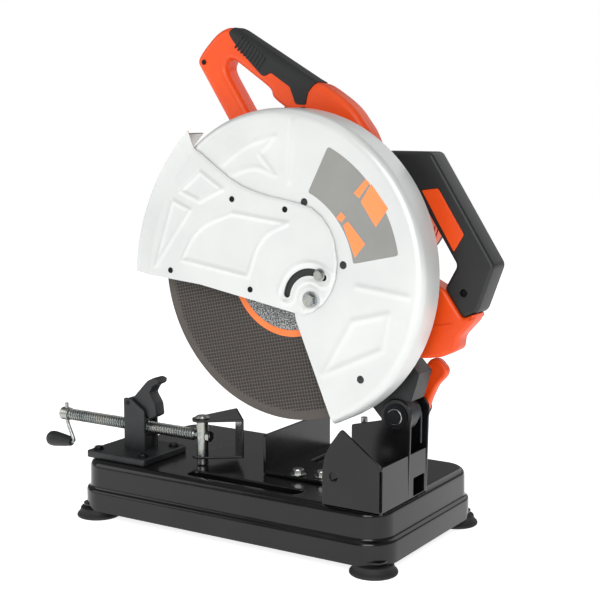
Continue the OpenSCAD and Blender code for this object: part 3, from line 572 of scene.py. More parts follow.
# %% Guard back disc and plugs
back = plate(circle(WHEEL[0], WHEEL[2], GUARD_R - 12, 96), BACK_Y - 2, BACK_Y, 0.5,
             holes=[circle(WHEEL[0], WHEEL[2], 30, 48)])
hub = plate(circle(WHEEL[0], WHEEL[2], 60, 64), BACK_Y - 2, BACK_Y, 0.5,
            holes=[circle(WHEEL[0], WHEEL[2], 30, 48)])
back = boolean(back, plate(OPENING, BACK_Y - 9, BACK_Y + 9, 0.2))
piece("guard_back_disc", joined(back, hub), SILVER, "head", "silver_paint")
plugs = [lathe([(0, FACE_Y - 0.2), (3.4, FACE_Y - 0.2), (4.4, FACE_Y + 0.4), (4.4, FACE_Y + 2.5),
                (0, FACE_Y + 2.5)], at_wheel(hx, hz), "y", 32) for hx, hz in FACE_HOLES]
piece("guard_hole_plugs", joined(*plugs), BLACK_NYLON, "head", "black_plastic")

# %% [markdown]
# The printed film on the guard is a grey ring sector with four orange bars. Each is a plate
# a tenth of a millimetre thick, so that it lies on the paint as real film does.

# %% Guard film
film = soften(np.vstack([arc(0, 0, 158.5, 10, 65), arc(0, 0, 101, 66, 8.6)]), 4)
piece("guard_film", plate(from_wheel(film), FACE_Y - 0.15, FACE_Y + 0.3, 0.05, steps=1), DECAL_GREY, "head",
      "decal_film", "guard_decal")
BARS = [[(100, 93), (115, 109), (120, 105), (107, 88)], [(109, 84), (122, 104), (143, 78), (128, 57)],
        [(78, 65), (84, 72), (90, 67), (85, 60)], [(87, 57), (93, 62), (115, 38), (102, 22)]]
bars = [plate(from_wheel(bar), FACE_Y - 0.27, FACE_Y + 0.2, 0.05, steps=1) for bar in BARS]
piece("guard_film_bars", joined(*bars), DECAL_ORANGE, "head", "decal_film")

# %% [markdown]
# The moving guard is a second pressing that hangs on its own pivot in front of the wheel. Its
# face carries pressed panels and a raised border round the slot, and slopes down to its rim.
# The grid here is flat and even, because its figures don't follow one centre.

# %% Moving guard
SWING_X, SWING_Z = (SWING - WHEEL)[[0, 2]]
RIM_R = 257.0
BAND, DROP = 27.0, 7.0
SHELL_Y = SHELL_LOW[1]
SEAM = [(-116, 139), (-104, 132), (-86, 119), (-66, 106), (-49, 97), (-31, 91), (-10, 86), (10, 83), (32, 79),
        (46, 75), (59, 66), (69, 54), (76, 40), (80, 16), (78, -4), (72, -19), (62, -33), (48, -43),
        (36, -46.5)]
SHELL_EDGE = np.vstack([SEAM, [(22, -45), (-22, -37), (-108, -22), (-208, -13.5)],
                        arc(SWING_X, SWING_Z, RIM_R, 176, 133, 30)])
PANELS = [[(-106, 111), (-75, 92), (-107, 77), (-135, 88), (-106, 111)],
          [(-174, -3), (-147, 76), (-122, 66), (-174, -3)],
          np.vstack([soften([(-134, 6), (-112, 46), (-61, 65)], 40, closed=False),
                     soften([(15, 56), (-22, 40), (-39, -8)], 40, closed=False), [(-134, 6)]])]
STOP_R = 31.5
SLOT_ENDS = (57, 172)


def round_slot(half):
    """Arc-shaped slot of half width half about the pivot, with a half circle at each end."""
    first, last = ([SWING_X + STOP_R * math.cos(math.radians(a)),
                    SWING_Z + STOP_R * math.sin(math.radians(a))]
                   for a in SLOT_ENDS)
    return np.vstack([arc(SWING_X, SWING_Z, STOP_R + half, *SLOT_ENDS),
                      arc(*last, half, SLOT_ENDS[1], SLOT_ENDS[1] + 180, 10),
                      arc(SWING_X, SWING_Z, STOP_R - half, *SLOT_ENDS[::-1]),
                      arc(*first, half, SLOT_ENDS[0] - 180, SLOT_ENDS[0], 10)])


BORDER = round_slot(10.5)
COLLAR = arc(SWING_X, SWING_Z, 14, -50, 240, 24)


def moving_face():
    """Flat grid: Y falls by the ridges, and rises from the rim's slope and at the seam's turned-in edge."""
    x, z = np.meshgrid(np.arange(-216, 86, 1.45), np.arange(-56, 162, 1.45))
    r = np.hypot(x - SWING_X, z - SWING_Z)
    height = sum(ridge(x, z, panel, 2.4, 1.5) for panel in PANELS)
    height += np.maximum(ridge(x, z, BORDER, 2.2, 1.5), ridge(x, z, COLLAR, 2.2, 1.5))
    slope = np.clip((r - (RIM_R - BAND)) / BAND, 0, 1)
    height -= DROP * slope + ridge(x, z, SEAM, 1.3, 0.9)
    points = spread_axes(x + WHEEL[0], z + WHEEL[2], SHELL_Y - height, "y")
    return thicken(mesh_of(points, grid_faces(*x.shape, wrap_cols=False)), 1.5)


face = boolean(moving_face(), plate(from_wheel(SHELL_EDGE), SHELL_Y - 20, SHELL_Y + 40, 0.2), "INTERSECT")
face = boolean(face, plate(from_wheel(round_slot(4.3)), SHELL_Y - 9, SHELL_Y + 9, 0.2))
wall_a = np.radians(np.linspace(134, 176.6, 60))[None, :]
WALL = soften([(RIM_R, SHELL_Y + DROP), (RIM_R, SHELL_HIGH[1]), (RIM_R - 1.6, SHELL_HIGH[1]),
               (RIM_R - 1.6, SHELL_Y + DROP - 0.4)], 0.5, steps=3)
wall_r, wall_y = WALL[:, :1], WALL[:, 1:]
wall_points = spread_axes(wall_r * np.cos(wall_a) + SWING_X + WHEEL[0],
                          wall_r * np.sin(wall_a) + SWING_Z + WHEEL[2], wall_y, "y")
wall = mesh_of(wall_points, grid_faces(len(WALL), wall_a.size, wrap_rows=True, wrap_cols=False))
# A black sheet on the fixed guard's face, the slot's outline at rest and a little wider: painted shade inside the
# moving guard's slot.
slot_shade_sheet = plate(from_wheel(round_slot(6.5)), FACE_Y - 0.6, FACE_Y + 0.4, 0.1, steps=1)
piece("guard_slot_painted_shade", slot_shade_sheet, BLACK_NYLON, "head", "black_plastic")
piece("guard_moving_pressing", joined(face, wall), SILVER, "moving_guard", "silver_paint", "guard_moving")

# %% [markdown]
# Four blind rivets hold the pressing to its stiffener. Each is a small domed disc with the
# dimple left by the pulled stem.

# %% Rivets
RIVETS = [(-61, 81), (12, 72), (-152, -8), (-36, -23)]
dome = [(0, -0.4), (0.9, -0.4), (1.2, -1.0), (2.2, -1.1), (3.2, -0.7), (3.6, 0.0), (3.6, 1.2), (0, 1.2)]
rivets = [lathe([(r, SHELL_Y + h) for r, h in dome], at_wheel(x, z), "y", 32) for x, z in RIVETS]
piece("guard_rivet_heads", joined(*rivets), DARK_SCREW, "moving_guard", "dark_screw", "guard_rivets")

# %% [markdown]
# The abrasive wheel is a thin disc with slightly rough corners, so its profile is softened.
# The paper label is a raised skin: an orange ring round a speckled grey middle.

# %% Abrasive wheel and label
low, high = node_box("cutting_wheel")
WHEEL_R = (high - low)[0] / 2
BORE_R = 12.75
disc_radii = (BORE_R, 60, 120, WHEEL_R)
disc = soften([(r, low[1]) for r in disc_radii] + [(r, high[1]) for r in disc_radii[::-1]], 0.7, steps=4)
piece("abrasive_wheel", lathe(disc, at_wheel(), "y", 256, ring=True), WHEEL_GRIT, "spindle", "abrasive",
      "cutting_wheel")


def label_ring(r0, r1):
    """A ring of paper 0.2 mm thick on the wheel's near face."""
    y = low[1]
    return lathe([(r0, y + 0.1), (r0, y - 0.2), (r1 - 0.3, y - 0.2), (r1, y + 0.1)], at_wheel(), "y", 128,
                 ring=True)


piece("label_middle", label_ring(39.5, 71), LABEL_GREY, "spindle", "decal_film")
piece("label_rim", label_ring(71, 79), LABEL_ORANGE, "spindle", "decal_film")

# %% [markdown]
# Hexagon bolts turn up all over the saw. The head's radius follows the six flats, and its
# crown is chamfered where a cone meets the flats, as on a real turned bolt.

# %% Hexagon bolts
def hexagon(across_flats, low, high, centre, axis, washer=0.0):
    """Radius at an angle is half the flats over cos(angle within one sixth), capped by the chamfer's cone."""
    a = np.linspace(0, math.tau, 96, endpoint=False)
    flats = across_flats / 2 / np.cos((a + math.pi / 6) % (math.pi / 3) - math.pi / 6)
    away = np.sign(high - low)
    cone = np.array([across_flats * 0.47, across_flats * 0.6, across_flats * 0.7])
    r = np.stack([flats * 0, np.minimum(flats, cone[0]), np.minimum(flats, cone[1]), flats, flats, flats * 0])
    h = np.array([high, high, high - away * 1.1, high - away * 1.6, low, low])[:, None]
    points = spread_axes(r * np.cos(a), r * np.sin(a), h, axis) + np.asarray(centre, float)
    head = mesh_of(points, grid_faces(6, 96))
    if not washer:
        return head
    ring = lathe(soften([(2, low), (washer, low), (washer, low - away * 1.5), (2, low - away * 1.5)], 0.4,
                        steps=4), centre, axis, 64, ring=True)
    return joined(head, ring)


STOP_TURN = math.radians(67)
pivot_at = (SWING[0], 0, SWING[2])
stop_at = (SWING[0] + STOP_R * math.cos(STOP_TURN), 0, SWING[2] + STOP_R * math.sin(STOP_TURN))
bolt_low = node_box("guard_pivot_bolt")[0][1]
piece("guard_pivot_screw", hexagon(13, bolt_low + 4, bolt_low, pivot_at, "y", 9.5), ZINC, "head",
      "zinc_steel", "guard_pivot_bolt")
piece("guard_stop_screw", hexagon(10, bolt_low + 4, bolt_low + 0.5, stop_at, "y", 7.3), ZINC, "head",
      "zinc_steel", "guard_stop_bolt")

# %% [markdown]
# The front handle is a closed loop moulded in two shells, with a softer black grip over its
# upper part. The loop is one rounded plate; cutting it at the parting plane and along the
# grip's outline gives all the parts the same surface, as a two-shot moulding has.

# %% Front handle
SPLIT_Y = -44.0
HANDLE_Y = (-59.0, -29.0)
LOOP = [(-108, 283), (-124, 279), (-136, 271), (-155, 252), (-161, 241), (-155, 232), (-60, 87), (-38, 73),
        (10, 73),
        (30, 85), (91, 85), (91, 138), (81, 160), (73, 170), (60, 187), (37, 203), (20, 213), (12, 214)]
HAND_HOLE = [(-110, 246), (-52, 207), (-52, 199), (-40, 190), (5, 164), (15, 134), (0, 104), (-25, 95),
             (-38, 111), (-86, 182), (-117, 229), (-117, 237)]
GRIP = [(-104, 285), (-111, 275), (-107, 268), (-95, 254), (-64, 224), (-59, 223), (-51, 227), (-24, 210),
        (-16, 190), (-2, 189), (1, 203), (14, 218)]


def handle_loop(grow):
    """The rounded loop: outline and hole softened, grown outwards by grow on every side."""
    outer = inset(anticlockwise(from_wheel(soften(LOOP, 14))), -grow)
    hole = inset(anticlockwise(from_wheel(soften(HAND_HOLE, 13))), grow)
    return plate(outer, HANDLE_Y[0] - grow, HANDLE_Y[1] + grow, 7.5, holes=[hole], steps=6)


def slab(points, low, high):
    """A plain cutting block from an outline about the wheel's axis."""
    return plate(from_wheel(points), low, high, 0.01, steps=1)


HALF = [(-300, 0), (300, 0), (300, 400), (-300, 400)]
orange = boolean(handle_loop(0.0), slab(soften(GRIP, 3), -80, 0))
near = boolean(orange.copy(), slab(HALF, SPLIT_Y - 0.15, 0))
far = boolean(orange, slab(HALF, -90, SPLIT_Y + 0.15))
piece("handle_near_half", near, ORANGE, "head", "orange_plastic", "handle_shell_near")
piece("handle_far_half", far, ORANGE, "head", "orange_plastic", "handle_shell_far")

# %% [markdown]
# The grip stands about a millimetre proud of the shells, and short ribs cross its middle.

# %% Grip and its ribs
grip = boolean(handle_loop(1.0), slab(inset(anticlockwise(soften(GRIP, 3)), 0.3), -80, 0), "INTERSECT")
along, across = unit(np.array([46.0, -36.0])), unit(np.array([36.0, 46.0]))
ribs = []
for step in range(9):
    middle = np.array([-96.0, 264.0]) + along * step * 5.2
    bar = [middle + along * u + across * v for u, v in ((-1.1, -9), (1.1, -9), (1.1, 9), (-1.1, 9))]
    ribs.append(plate(from_wheel(soften(bar, 0.9, steps=4)), HANDLE_Y[0] - 1.9, HANDLE_Y[1] + 1.9, 0.5,
                      steps=2))
piece("handle_grip", joined(grip, *ribs), GRIP_FINISH, "head", "grip_rubber", "grip_overmould")

# %% [markdown]
# The carry handle behind the guard is a deep black moulding with an orange badge set into a
# shallow pocket, and the shroud below it joins the handle to the hinge arm.

# %% Carry handle, badge and shroud
CARRY = [(91, 137), (159, 137), (238, 14), (219, -39), (201, -47), (178, -15), (193, 12), (137, 99),
         (115, 92), (91, 92)]
BADGE = [(147, 95), (169, 98), (202, 47), (189, 26)]
CARRY_Y = (-55.0, -21.0)
SCREW_PIT = (202, -18)
carry = plate(from_wheel(soften(CARRY, 5)), *CARRY_Y, 4.0, steps=5)
carry = boolean(carry, slab(soften(BADGE, 3), CARRY_Y[0] - 3, CARRY_Y[0] + 1.6))
carry = boolean(carry, slab(circle(*SCREW_PIT, 4.6), CARRY_Y[0] - 3, CARRY_Y[0] + 9))
piece("carry_loop", carry, BLACK_NYLON, "head", "black_plastic", "carry_handle")
badge = plate(from_wheel(inset(anticlockwise(soften(BADGE, 3)), 0.7)), CARRY_Y[0] - 0.3, CARRY_Y[0] + 1.8,
              0.5)
piece("carry_badge", badge, ORANGE, "head", "orange_plastic", "carry_inset")
pit_screw = lathe([(0, -48), (1.4, -48), (1.8, -48.8), (3.6, -49), (4.2, -48.2), (4.2, -46), (0, -46)],
                  at_wheel(*SCREW_PIT), "y", 32)
piece("carry_screw", pit_screw, DARK_SCREW, "head", "dark_screw")
SHROUD = [(178, -15), (201, -47), (219, -39), (215, -49), (197, -69), (196, -83), (177, -93), (153, -97),
          (120, -91), (80, -41), (95, 4), (140, 4)]
shroud = plate(from_wheel(soften(SHROUD, 5)), -57.0, -30.1, 4.0, steps=5)
seam = soften([(126, -88), (150, -60), (190, -52), (189, -53.4), (149.4, -61.4), (125, -89.4)], 0.3, steps=3)
piece("rear_shroud_moulding", boolean(shroud, slab(seam, -58, -56)), ORANGE, "head", "orange_plastic",
      "rear_shroud")

# %% [markdown]
# The base is one deep-drawn sheet: an upright skirt, a rounded step, a softer shoulder and a
# flat deck with a trough under the wheel. Rings of one rounded rectangle, moved inwards as
# they climb, give all of it, and a wall thickness turns it into sheet.

# %% Base pan
PAN_L, PAN_W, CORNER = 454.0, 260.0, 39.0
FOOT_X, FOOT_Y = 205, 108
SKIRT_Z, STEP_Z, DECK_Z, SHEET = 12.3, 38.6, 76.0, 2.5
TROUGH_X, TROUGH_W, TROUGH_FLOOR = (-62.0, 102.0), 20.0, 60.0


def rounded_box(x0, x1, y0, y1, r, count=14):
    """A rectangle with true quarter-circle corners."""
    return np.vstack([arc(x1 - r, y1 - r, r, 0, 90, count), arc(x0 + r, y1 - r, r, 90, 180, count),
                      arc(x0 + r, y0 + r, r, 180, 270, count), arc(x1 - r, y0 + r, r, 270, 360, count)])


def rings_of(outline, profile):
    """One ring of the outline for each (inset, height) of the profile."""
    profile = np.asarray(profile, float)
    rings = np.stack([inset(outline, d) for d in profile[:, 0]])
    return spread_axes(rings[..., 0], rings[..., 1], profile[:, 1, None], "z")


def pan_sheet():
    """Skirt, step and shoulder rings outside, trough rings inside, and the deck filled between them."""
    up = math.pi / 2 * np.linspace(0, 1, 8)
    shoulder = [(5.6 + 9 * (1 - math.cos(t)), DECK_Z - 9 + 9 * math.sin(t)) for t in up]
    step = soften([(0, SKIRT_Z), (0, STEP_Z), (5, STEP_Z + 2.4), (5.6, DECK_Z - 9)], 3.4, closed=False,
                  steps=6)
    lip = soften([(-3.5, DECK_Z), (0, DECK_Z), (0, TROUGH_FLOOR), (3, TROUGH_FLOOR)], 2.2, closed=False,
                 steps=5)
    pan = rounded_box(-PAN_L / 2, PAN_L / 2, -PAN_W / 2, PAN_W / 2, CORNER)
    trough = rounded_box(*TROUGH_X, WHEEL_MID - TROUGH_W / 2, WHEEL_MID + TROUGH_W / 2, 8.0)
    bm = bmesh.new()
    rims = []
    for outline, profile in ((pan, np.vstack([step, shoulder[1:], [(15.4, DECK_Z)]])), (trough, lip)):
        points = rings_of(outline, profile)
        verts = [bm.verts.new(p) for p in (points.reshape(-1, 3) * MM).tolist()]
        for quad in grid_faces(len(profile), len(outline)).tolist():
            bm.faces.new([verts[k] for k in quad])
        first, last = verts[:len(outline)], verts[-len(outline):]
        rims.append([first, last])
    edges = [bm.edges.get(pair) for ring in (rims[0][1], rims[1][0]) for pair in zip(ring,
                                                                                     ring[1:] + ring[:1])]
    bmesh.ops.triangle_fill(bm, use_beauty=True, edges=edges)
    bm.faces.new(rims[1][1])
    mesh = bpy.data.meshes.new("pan")
    bm.to_mesh(mesh)
    bm.free()
    return thicken(closed(mesh), SHEET, front=(0.0, 0.0, 1.0))


WHEEL_MID = (low[1] + high[1]) / 2
pan = pan_sheet()
ears = [plate(rounded_box(sx * 203 - 20, sx * 203 + 20, sy * 106 - 20, sy * 106 + 20, 14), 15.5, 18.0, 0.4,
              axis="z", holes=[circle(sx * FOOT_X, sy * FOOT_Y, 6.6)]) for sx in (-1, 1) for sy in (-1, 1)]
piece("base_pressing", joined(pan, *ears), ENAMEL, "base", "black_enamel", "base_pan")

# %% [markdown]
# The rubber feet flare towards the bench like suction cups, with a waist under the skirt and
# a steel eyelet through the middle for the bench bolt.

# %% Feet
FOOT = soften([(6.6, 0), (27.5, 0), (28.5, 1.2), (28.3, 3.2), (25.2, 6.4), (23.9, 9), (23.4, 12.2),
               (11, 12.2), (11, 15.4), (6.6, 15.4)], 1.0, steps=4)
for name, sx, sy in (("front_near", -1, -1), ("front_far", -1, 1), ("rear_near", 1, -1), ("rear_far", 1, 1)):
    piece("rubber_foot_" + name, lathe(FOOT, (sx * FOOT_X, sy * FOOT_Y, 0), "z", 72, ring=True), RUBBER, "base",
          "foot_rubber", "foot_" + name)

# %% [markdown]
# The hinge bracket is folded from 3 mm plate: a tall near cheek, two lugs for the pin, a
# floor and a back. Each wall is a plate with slightly rounded sheared edges.

# %% Hinge bracket
CHEEK = [(149, 76), (149, 118), (152, 134), (160, 150), (174, 169), (226, 131), (226, 76)]
PIN_HOLE = circle(HINGE[0], HINGE[2], 8.05, 48)


def lug(x0, z0):
    """A lug's outline: up from the floor at x0 to z0 and round the pin's boss."""
    boss = arc(HINGE[0], HINGE[2], 20, -20, 200, 30)
    return np.vstack([[(x0, 77), (226, 77)], boss, [(x0, z0)]])


walls = [plate(soften(CHEEK, 4), -130, -127, 0.6, holes=[circle(164, 112, 5.5)]),
         plate(soften(lug(150, 158), 2), -65, -62, 0.6, holes=[PIN_HOLE]),
         plate(soften(lug(168, 145), 2), -20, -17, 0.6, holes=[PIN_HOLE]),
         plate(rounded_box(149, 226, -130, -17, 2), 76, 79, 0.6, axis="z"),
         plate(soften([(-130, 76), (-17, 76), (-17, 131), (-130, 131)], 4), 223, 226, 0.6, axis="x",
               holes=[rounded_box(-52, -24, 79.5, 101, 2, 4)])]
piece("hinge_bracket_folded", joined(*walls), ENAMEL, "base", "black_enamel", "hinge_bracket")

# %% [markdown]
# The vise screw has a trapezoidal thread. Its radius depends on position along the rod less
# the turn, times the pitch, so one wave winds round the rod as a helix.

# %% Vise screw and crank
SCREW_LOW, SCREW_HIGH = node_box("vise_screw")
SCREW_Y, SCREW_Z = (SCREW_LOW[1] + SCREW_HIGH[1]) / 2, (SCREW_LOW[2] + SCREW_HIGH[2]) / 2
CRANK_X, PITCH = -300.0, 4.0


def threaded_rod(x0, x1, r, depth):
    """Radius is r - depth (1 - w): w = 0.5 + 1.1 sin(2 pi x / pitch - angle), cut to between 0 and 1."""
    x = np.arange(x0, x1, PITCH / 8)[:, None]
    a = np.linspace(0, math.tau, 40, endpoint=False)[None, :]
    wave = np.clip(0.5 + 1.1 * np.sin(math.tau * x / PITCH - a), 0, 1)
    fade = np.clip(np.minimum(x - x0, x1 - x) / 3, 0, 1)
    radius = r - depth * (1 - wave * fade)
    radius[0] = radius[-1] = 0
    x = x + np.where(np.arange(len(x)) == 0, PITCH / 8, 0)[:, None]
    x[-1] = x[-2]
    return mesh_of(spread_axes(SCREW_Y + radius * np.cos(a), SCREW_Z + radius * np.sin(a), x, "x"),
                   grid_faces(len(x), a.size))


head_end = lathe(soften([(0, CRANK_X - 7), (8.8, CRANK_X - 7), (8.8, CRANK_X + 6), (0, CRANK_X + 6)], 1.2,
                        closed=False), (0, SCREW_Y, SCREW_Z), "x", 48)
nose = lathe([(0, -82), (4.2, -82), (4.2, -59), (3.4, -58), (0, -58)], (0, SCREW_Y, SCREW_Z), "x", 40)
piece("vise_screw_threaded", joined(threaded_rod(CRANK_X + 5, -80, 7.8, 1.8), head_end, nose), ZINC,
      "vise_screw", "zinc_steel", "vise_screw")
bend = soften([(CRANK_X, 128), (CRANK_X, 103), (CRANK_X + 12.7, 75.8), (-331, 75.8)], 6, closed=False,
              steps=8)
ROD_POINTS = 70
along_rod, at_bend = np.linspace(0, 1, ROD_POINTS), np.linspace(0, 1, len(bend))
rod_x, rod_z = (np.interp(along_rod, at_bend, bend[:, k]) for k in (0, 1))
dense = np.column_stack([rod_x, np.full(ROD_POINTS, SCREW_Y), rod_z])
piece("crank_rod_bent", tube(dense, 2.6), ZINC, "vise_screw", "zinc_steel", "crank_rod")
KNOB = soften([(2.7, -292.3), (6.2, -292.3), (8.4, -306), (10.5, -323), (10, -330), (6.5, -334.3),
               (0, -334.3)], 2.2, closed=False)
piece("crank_knob_turned", lathe(np.vstack([[(0, -292.3)], KNOB]), (0, SCREW_Y, 75.8), "x", 48), BLACK_NYLON,
      "vise_screw", "black_plastic", "crank_knob")

# %% [markdown]
# The vise block, the half-nut lever, the jaw and the fence are plates and castings. They are
# painted with the base, and each edge keeps the small radius left by tumbling.

# %% Vise block, lever and jaw
def block_cheek(y0):
    """An upright cheek whose front corner slopes."""
    return plate(soften([(-188, 84), (-188, 152), (-176, 152), (-154, 138), (-154, 84)], 3), y0, y0 + 4, 1.0)


block = joined(plate(rounded_box(-222, -126, -112, -20, 5, 6), DECK_Z, DECK_Z + 9, 1.5, axis="z"),
               block_cheek(-75), block_cheek(-50),
               plate(soften([(-184, 84), (-184, 106), (-158, 106), (-158, 84)], 2), -72, -49, 0.8),
               lathe(soften([(7.9, -184), (12.5, -184), (12.5, -158), (7.9, -158)], 0.8),
                     (0, SCREW_Y, SCREW_Z), "x", 64, ring=True))
piece("vise_block_casting", block, CASTING, "base", "black_enamel", "vise_block")
LEVER = [(-188, 146), (-184, 152), (-176, 153), (-153, 177), (-141, 183), (-133, 181), (-134, 175),
         (-143, 171),
         (-149, 161), (-140, 148), (-138, 132), (-150, 126), (-158, 138), (-180, 139), (-187, 142)]
piece("half_nut_lever_casting", plate(soften(LEVER, 3), -70, -51, 1.8, holes=[circle(-181, 146, 3.1)]),
      CASTING, "nut_lever", "black_enamel", "half_nut_lever")
JAW_X, JAW_TURN = -71, 42
WEB = [(-7, -13), (2, -13), (49, -17), (51, -17), (51, 49), (48, 49), (-4, 13), (-10, 10), (-13, 4),
       (-13, -6)]
jaw = joined(*[plate(soften(WEB, 2.5), z, z + 3, 0.7, axis="z",
                     holes=[circle(0, 0, 7.6, 40)]) for z in (86, 133.5)],
             plate(soften([(-17, 86), (49, 86), (49, 136.5), (-17, 136.5)], 2.5), 48, 51, 0.8, axis="x"))
jaw.transform(Matrix.Translation(Vector((JAW_X * MM, SCREW_Y * MM, 0))) @ Matrix.Rotation(math.radians(JAW_TURN), 4,
                                                                                        "Z"))
piece("jaw_bracket_folded", jaw, ENAMEL, "jaw", "black_enamel", "jaw_bracket")
pin = joined(lathe(soften([(0, 77), (7.5, 77), (7.5, 140), (0, 140)], 0.8, closed=False), (JAW_X, SCREW_Y, 0),
                   "z", 48),
             lathe(soften([(0, 136.8), (9.5, 136.8), (9.5, 138.6), (0, 139.2)], 0.8, closed=False),
                   (JAW_X, SCREW_Y, 0), "z", 48))
piece("jaw_pin_turned", pin, ZINC, "vise_pin", "zinc_steel", "jaw_pin")

# %% [markdown]
# The fence is an angle: a flange on the deck with a pivot hole and a curved slot for the
# lock bolt, and an upright plate that the work rests against.

# %% Fence
FENCE_LOBE = [(20, -58), (104, -58), (112, -50), (112, -18), (80, 2), (44, 16), (42, 98), (20, 98)]
fence_low = node_box("fence")[0][2]
FENCE_PIVOT = (66, -50)
SLOT = soften(np.vstack([arc(*FENCE_PIVOT, 35.4, 6, 69, 12), arc(*FENCE_PIVOT, 26.6, 69, 6, 12)]), 3)
fence = joined(plate(soften(FENCE_LOBE, 3), fence_low, fence_low + 4, 0.8, axis="z",
                     holes=[circle(*FENCE_PIVOT, 5.1), SLOT]),
               plate(soften([(-58, fence_low), (98, fence_low), (98, fence_low + 50), (-58, fence_low + 50)],
                            3), 20, 24, 0.8, axis="x"))
piece("fence_folded", fence, ENAMEL, "fence", "black_enamel", "fence")

# %% [markdown]
# The latch lever at the hinge is a bright orange moulding, hollowed on its face so that a
# rim is left round a thin web.

# %% Latch lever
LATCH = [(200, 184), (220, 205), (221, 228), (228, 237), (239, 237), (249, 226), (248, 218), (236, 205),
         (228, 188), (223, 172), (216, 163), (205, 161), (196, 168), (195, 177)]
latch = plate(soften(LATCH, 5), -15.5, -4.5, 2.2, holes=[PIN_HOLE])
hollow = soften([(225, 212), (226, 227), (231, 232), (237, 232), (244, 225), (243, 219), (233, 207),
                 (224, 190), (217, 180), (220, 198)], 2)
for side_y in (-17.0, -8.5):
    latch = boolean(latch, plate(hollow, side_y, side_y + 5.5, 0.2))
piece("latch_lever_moulding", latch, ORANGE, "latch_lever", "orange_plastic", "latch_lever")

# %% [markdown]
# The return spring is a close coil of round wire on the hinge pin. Its wire is a circle
# carried along a helix.

# %% Return spring
COIL_R, COIL_Y, COIL_L, WIRE_R = 12.6, -40.5, 15, 1.5
coil_t = np.linspace(0, 5 * math.tau, 200)
out = np.stack([np.cos(coil_t), np.zeros(200), np.sin(coil_t)], 1)
climb = COIL_Y - HINGE[1] + COIL_L * coil_t / coil_t[-1]
middle = HINGE + out * COIL_R + np.array([0.0, 1.0, 0.0]) * climb[:, None]
wire_a = np.linspace(0, math.tau, 14, endpoint=False)[None, :, None]
wire_r = np.concatenate([[0], np.full(198, WIRE_R), [0]])[:, None, None]
coil = mesh_of(middle[:, None] + wire_r * (np.cos(wire_a) * out[:, None] + np.sin(wire_a) * (0.0, 1.0, 0.0)),
               grid_faces(200, 14))
leg = lathe([(0, HINGE[2] - 38), (1.2, HINGE[2] - 38), (1.2, HINGE[2] - 1), (0, HINGE[2] - 1)],
            (HINGE[0] + COIL_R, -25.6, 0), "z", 16)
piece("return_spring_coil", joined(coil, leg), SPRING, "base", "spring_steel", "return_spring")

# %% [markdown]
# A wire ring lies on the end of the hinge pin. It is three quarters of a turn of round wire.

# %% Ring on the hinge pin
ring_a = np.radians(np.linspace(-120, 150, 60))
ring_path = np.column_stack([HINGE[0] + 8.8 * np.cos(ring_a), np.full(60, -68.6),
                             HINGE[2] + 8.8 * np.sin(ring_a)])
piece("hinge_pin_ring", tube(ring_path, 0.9, 12), ZINC, "base", "zinc_steel")

# %% [markdown]
# The base's bolts are the same hexagon head on its washer, 13 mm or 10 mm across the flats.

# %% Bolts on the base
deck_bolts = [hexagon(13, DECK_Z + 6.5, DECK_Z + 12.5, (x, y, 0), "z", 10) for x, y in (FENCE_PIVOT, (96, -42))]
piece("fence_bolt_heads", joined(*deck_bolts), ZINC, "base", "zinc_steel", "fence_bolts")
hinge_bolts = [hexagon(13, DECK_Z + 4.4, DECK_Z + 9, (x, y, 0), "z", 9) for x,
               y in ((172, -100), (172, -42), (206, -100))]
piece("bracket_bolt_heads", joined(*hinge_bolts), ZINC, "base", "zinc_steel", "bracket_bolts")
vise_bolts = [hexagon(10, DECK_Z + 10.4, DECK_Z + 13, (x, y, 0), "z", 7)
              for x, y in ((-212, -98), (-138, -98), (-212, -34), (-138, -34))]
piece("vise_bolt_heads", joined(*vise_bolts), DARK_SCREW, "base", "zinc_steel", "vise_block_bolts")

# %% [markdown]
# The nodes that keep their measured shape, mostly the motor side and the inner workings,
# get the finish of what they are.

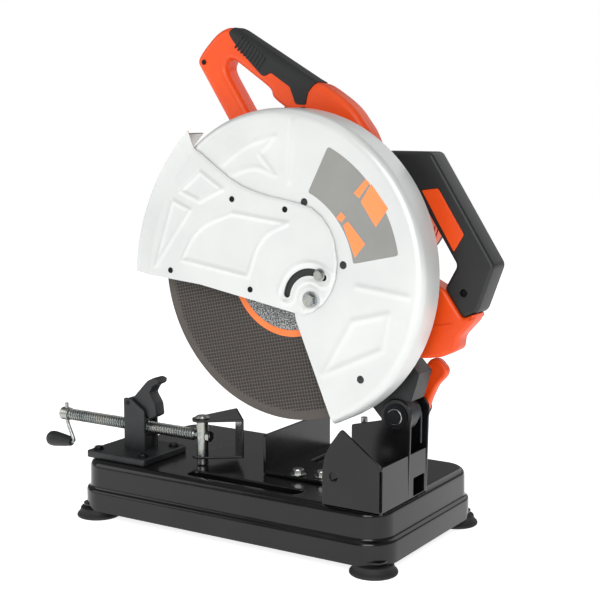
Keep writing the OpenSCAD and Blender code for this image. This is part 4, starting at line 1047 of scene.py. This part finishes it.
# %% Finishes for the carried-over nodes
KEPT = {CASTING: ["gear_case"], BLACK_NYLON: ["gear_cover", "motor_end_cap", "brush_caps", "switch_body",
                                              "trigger", "lock_button", "cooling_fan"],
        ORANGE: ["motor_housing"], RUBBER: ["cord_gland"], COPPER: ["armature_core"],
        ZINC: ["foot_eyelets", "depth_stop_bolt", "screw_nut", "spindle_bolt", "inner_flange",
               "outer_flange"], DARK_SCREW: ["handle_screws", "lever_pin", "pivot_clip", "pivot_pin"],
        STEEL: ["stator", "spindle_bearings", "armature_bearings", "spindle_shaft", "driven_gear",
                "armature_shaft", "spindle_lock"]}
for finish, names in KEPT.items():
    for name in names:
        data = frame["nodes"][name].data
        data.materials.clear()
        data.materials.append(finish)
print("kept nodes:", sum(map(len, KEPT.values())))

# %% [markdown]
# The saw stands on a plain pale floor that glows a little, so that it stays white to the
# horizon. The light is a wide key from the front right, a weaker fill from the left, a weak
# one overhead and a rim light behind. The world is dimmer for reflections than for the eye.

# %% Floor, lights and world
bpy.ops.mesh.primitive_plane_add(size=30, location=(0, 0, 0))
floor = bpy.context.object
floor.name = "floor"
FLOOR = finish_of("pale_floor", "#f4f4f4", 0.85, Emission_Color=linear("#ffffff"), Emission_Strength=0.8)[0]
floor.data.materials.append(FLOOR)


AIM = (0, -60, 250)


def area_light(name, place, size, power, aim=AIM):
    """A square white light that looks from place to aim, both in millimetres."""
    light = bpy.data.objects.new(name, bpy.data.lights.new(name, "AREA"))
    light.data.size, light.data.energy = size, power
    light.location = np.array(place) * MM
    look = Vector((np.array(aim) - np.array(place)).tolist())
    light.rotation_euler = look.to_track_quat("-Z", "Y").to_euler()
    bpy.context.scene.collection.objects.link(light)


area_light("key", (1500, -2600, 1500), 1.8, 60)
area_light("fill", (-2200, -1500, 1300), 1.6, 15)
area_light("top", (-200, -300, 2600), 1.6, 7)
area_light("back", (500, 2200, 1500), 1.8, 12, aim=(0, 0, 250))
world = bpy.data.worlds.new("studio")
world.use_nodes = True
sky = world.node_tree.nodes["Background"]
sky.inputs["Color"].default_value = linear("#ffffff")
seen = add(world.node_tree, "ShaderNodeLightPath").outputs["Is Camera Ray"]
world.node_tree.links.new(spread(world.node_tree, seen, 0.22, 1.0), sky.inputs["Strength"])
bpy.context.scene.world = world
bpy.context.scene.view_settings.view_transform = "Standard"
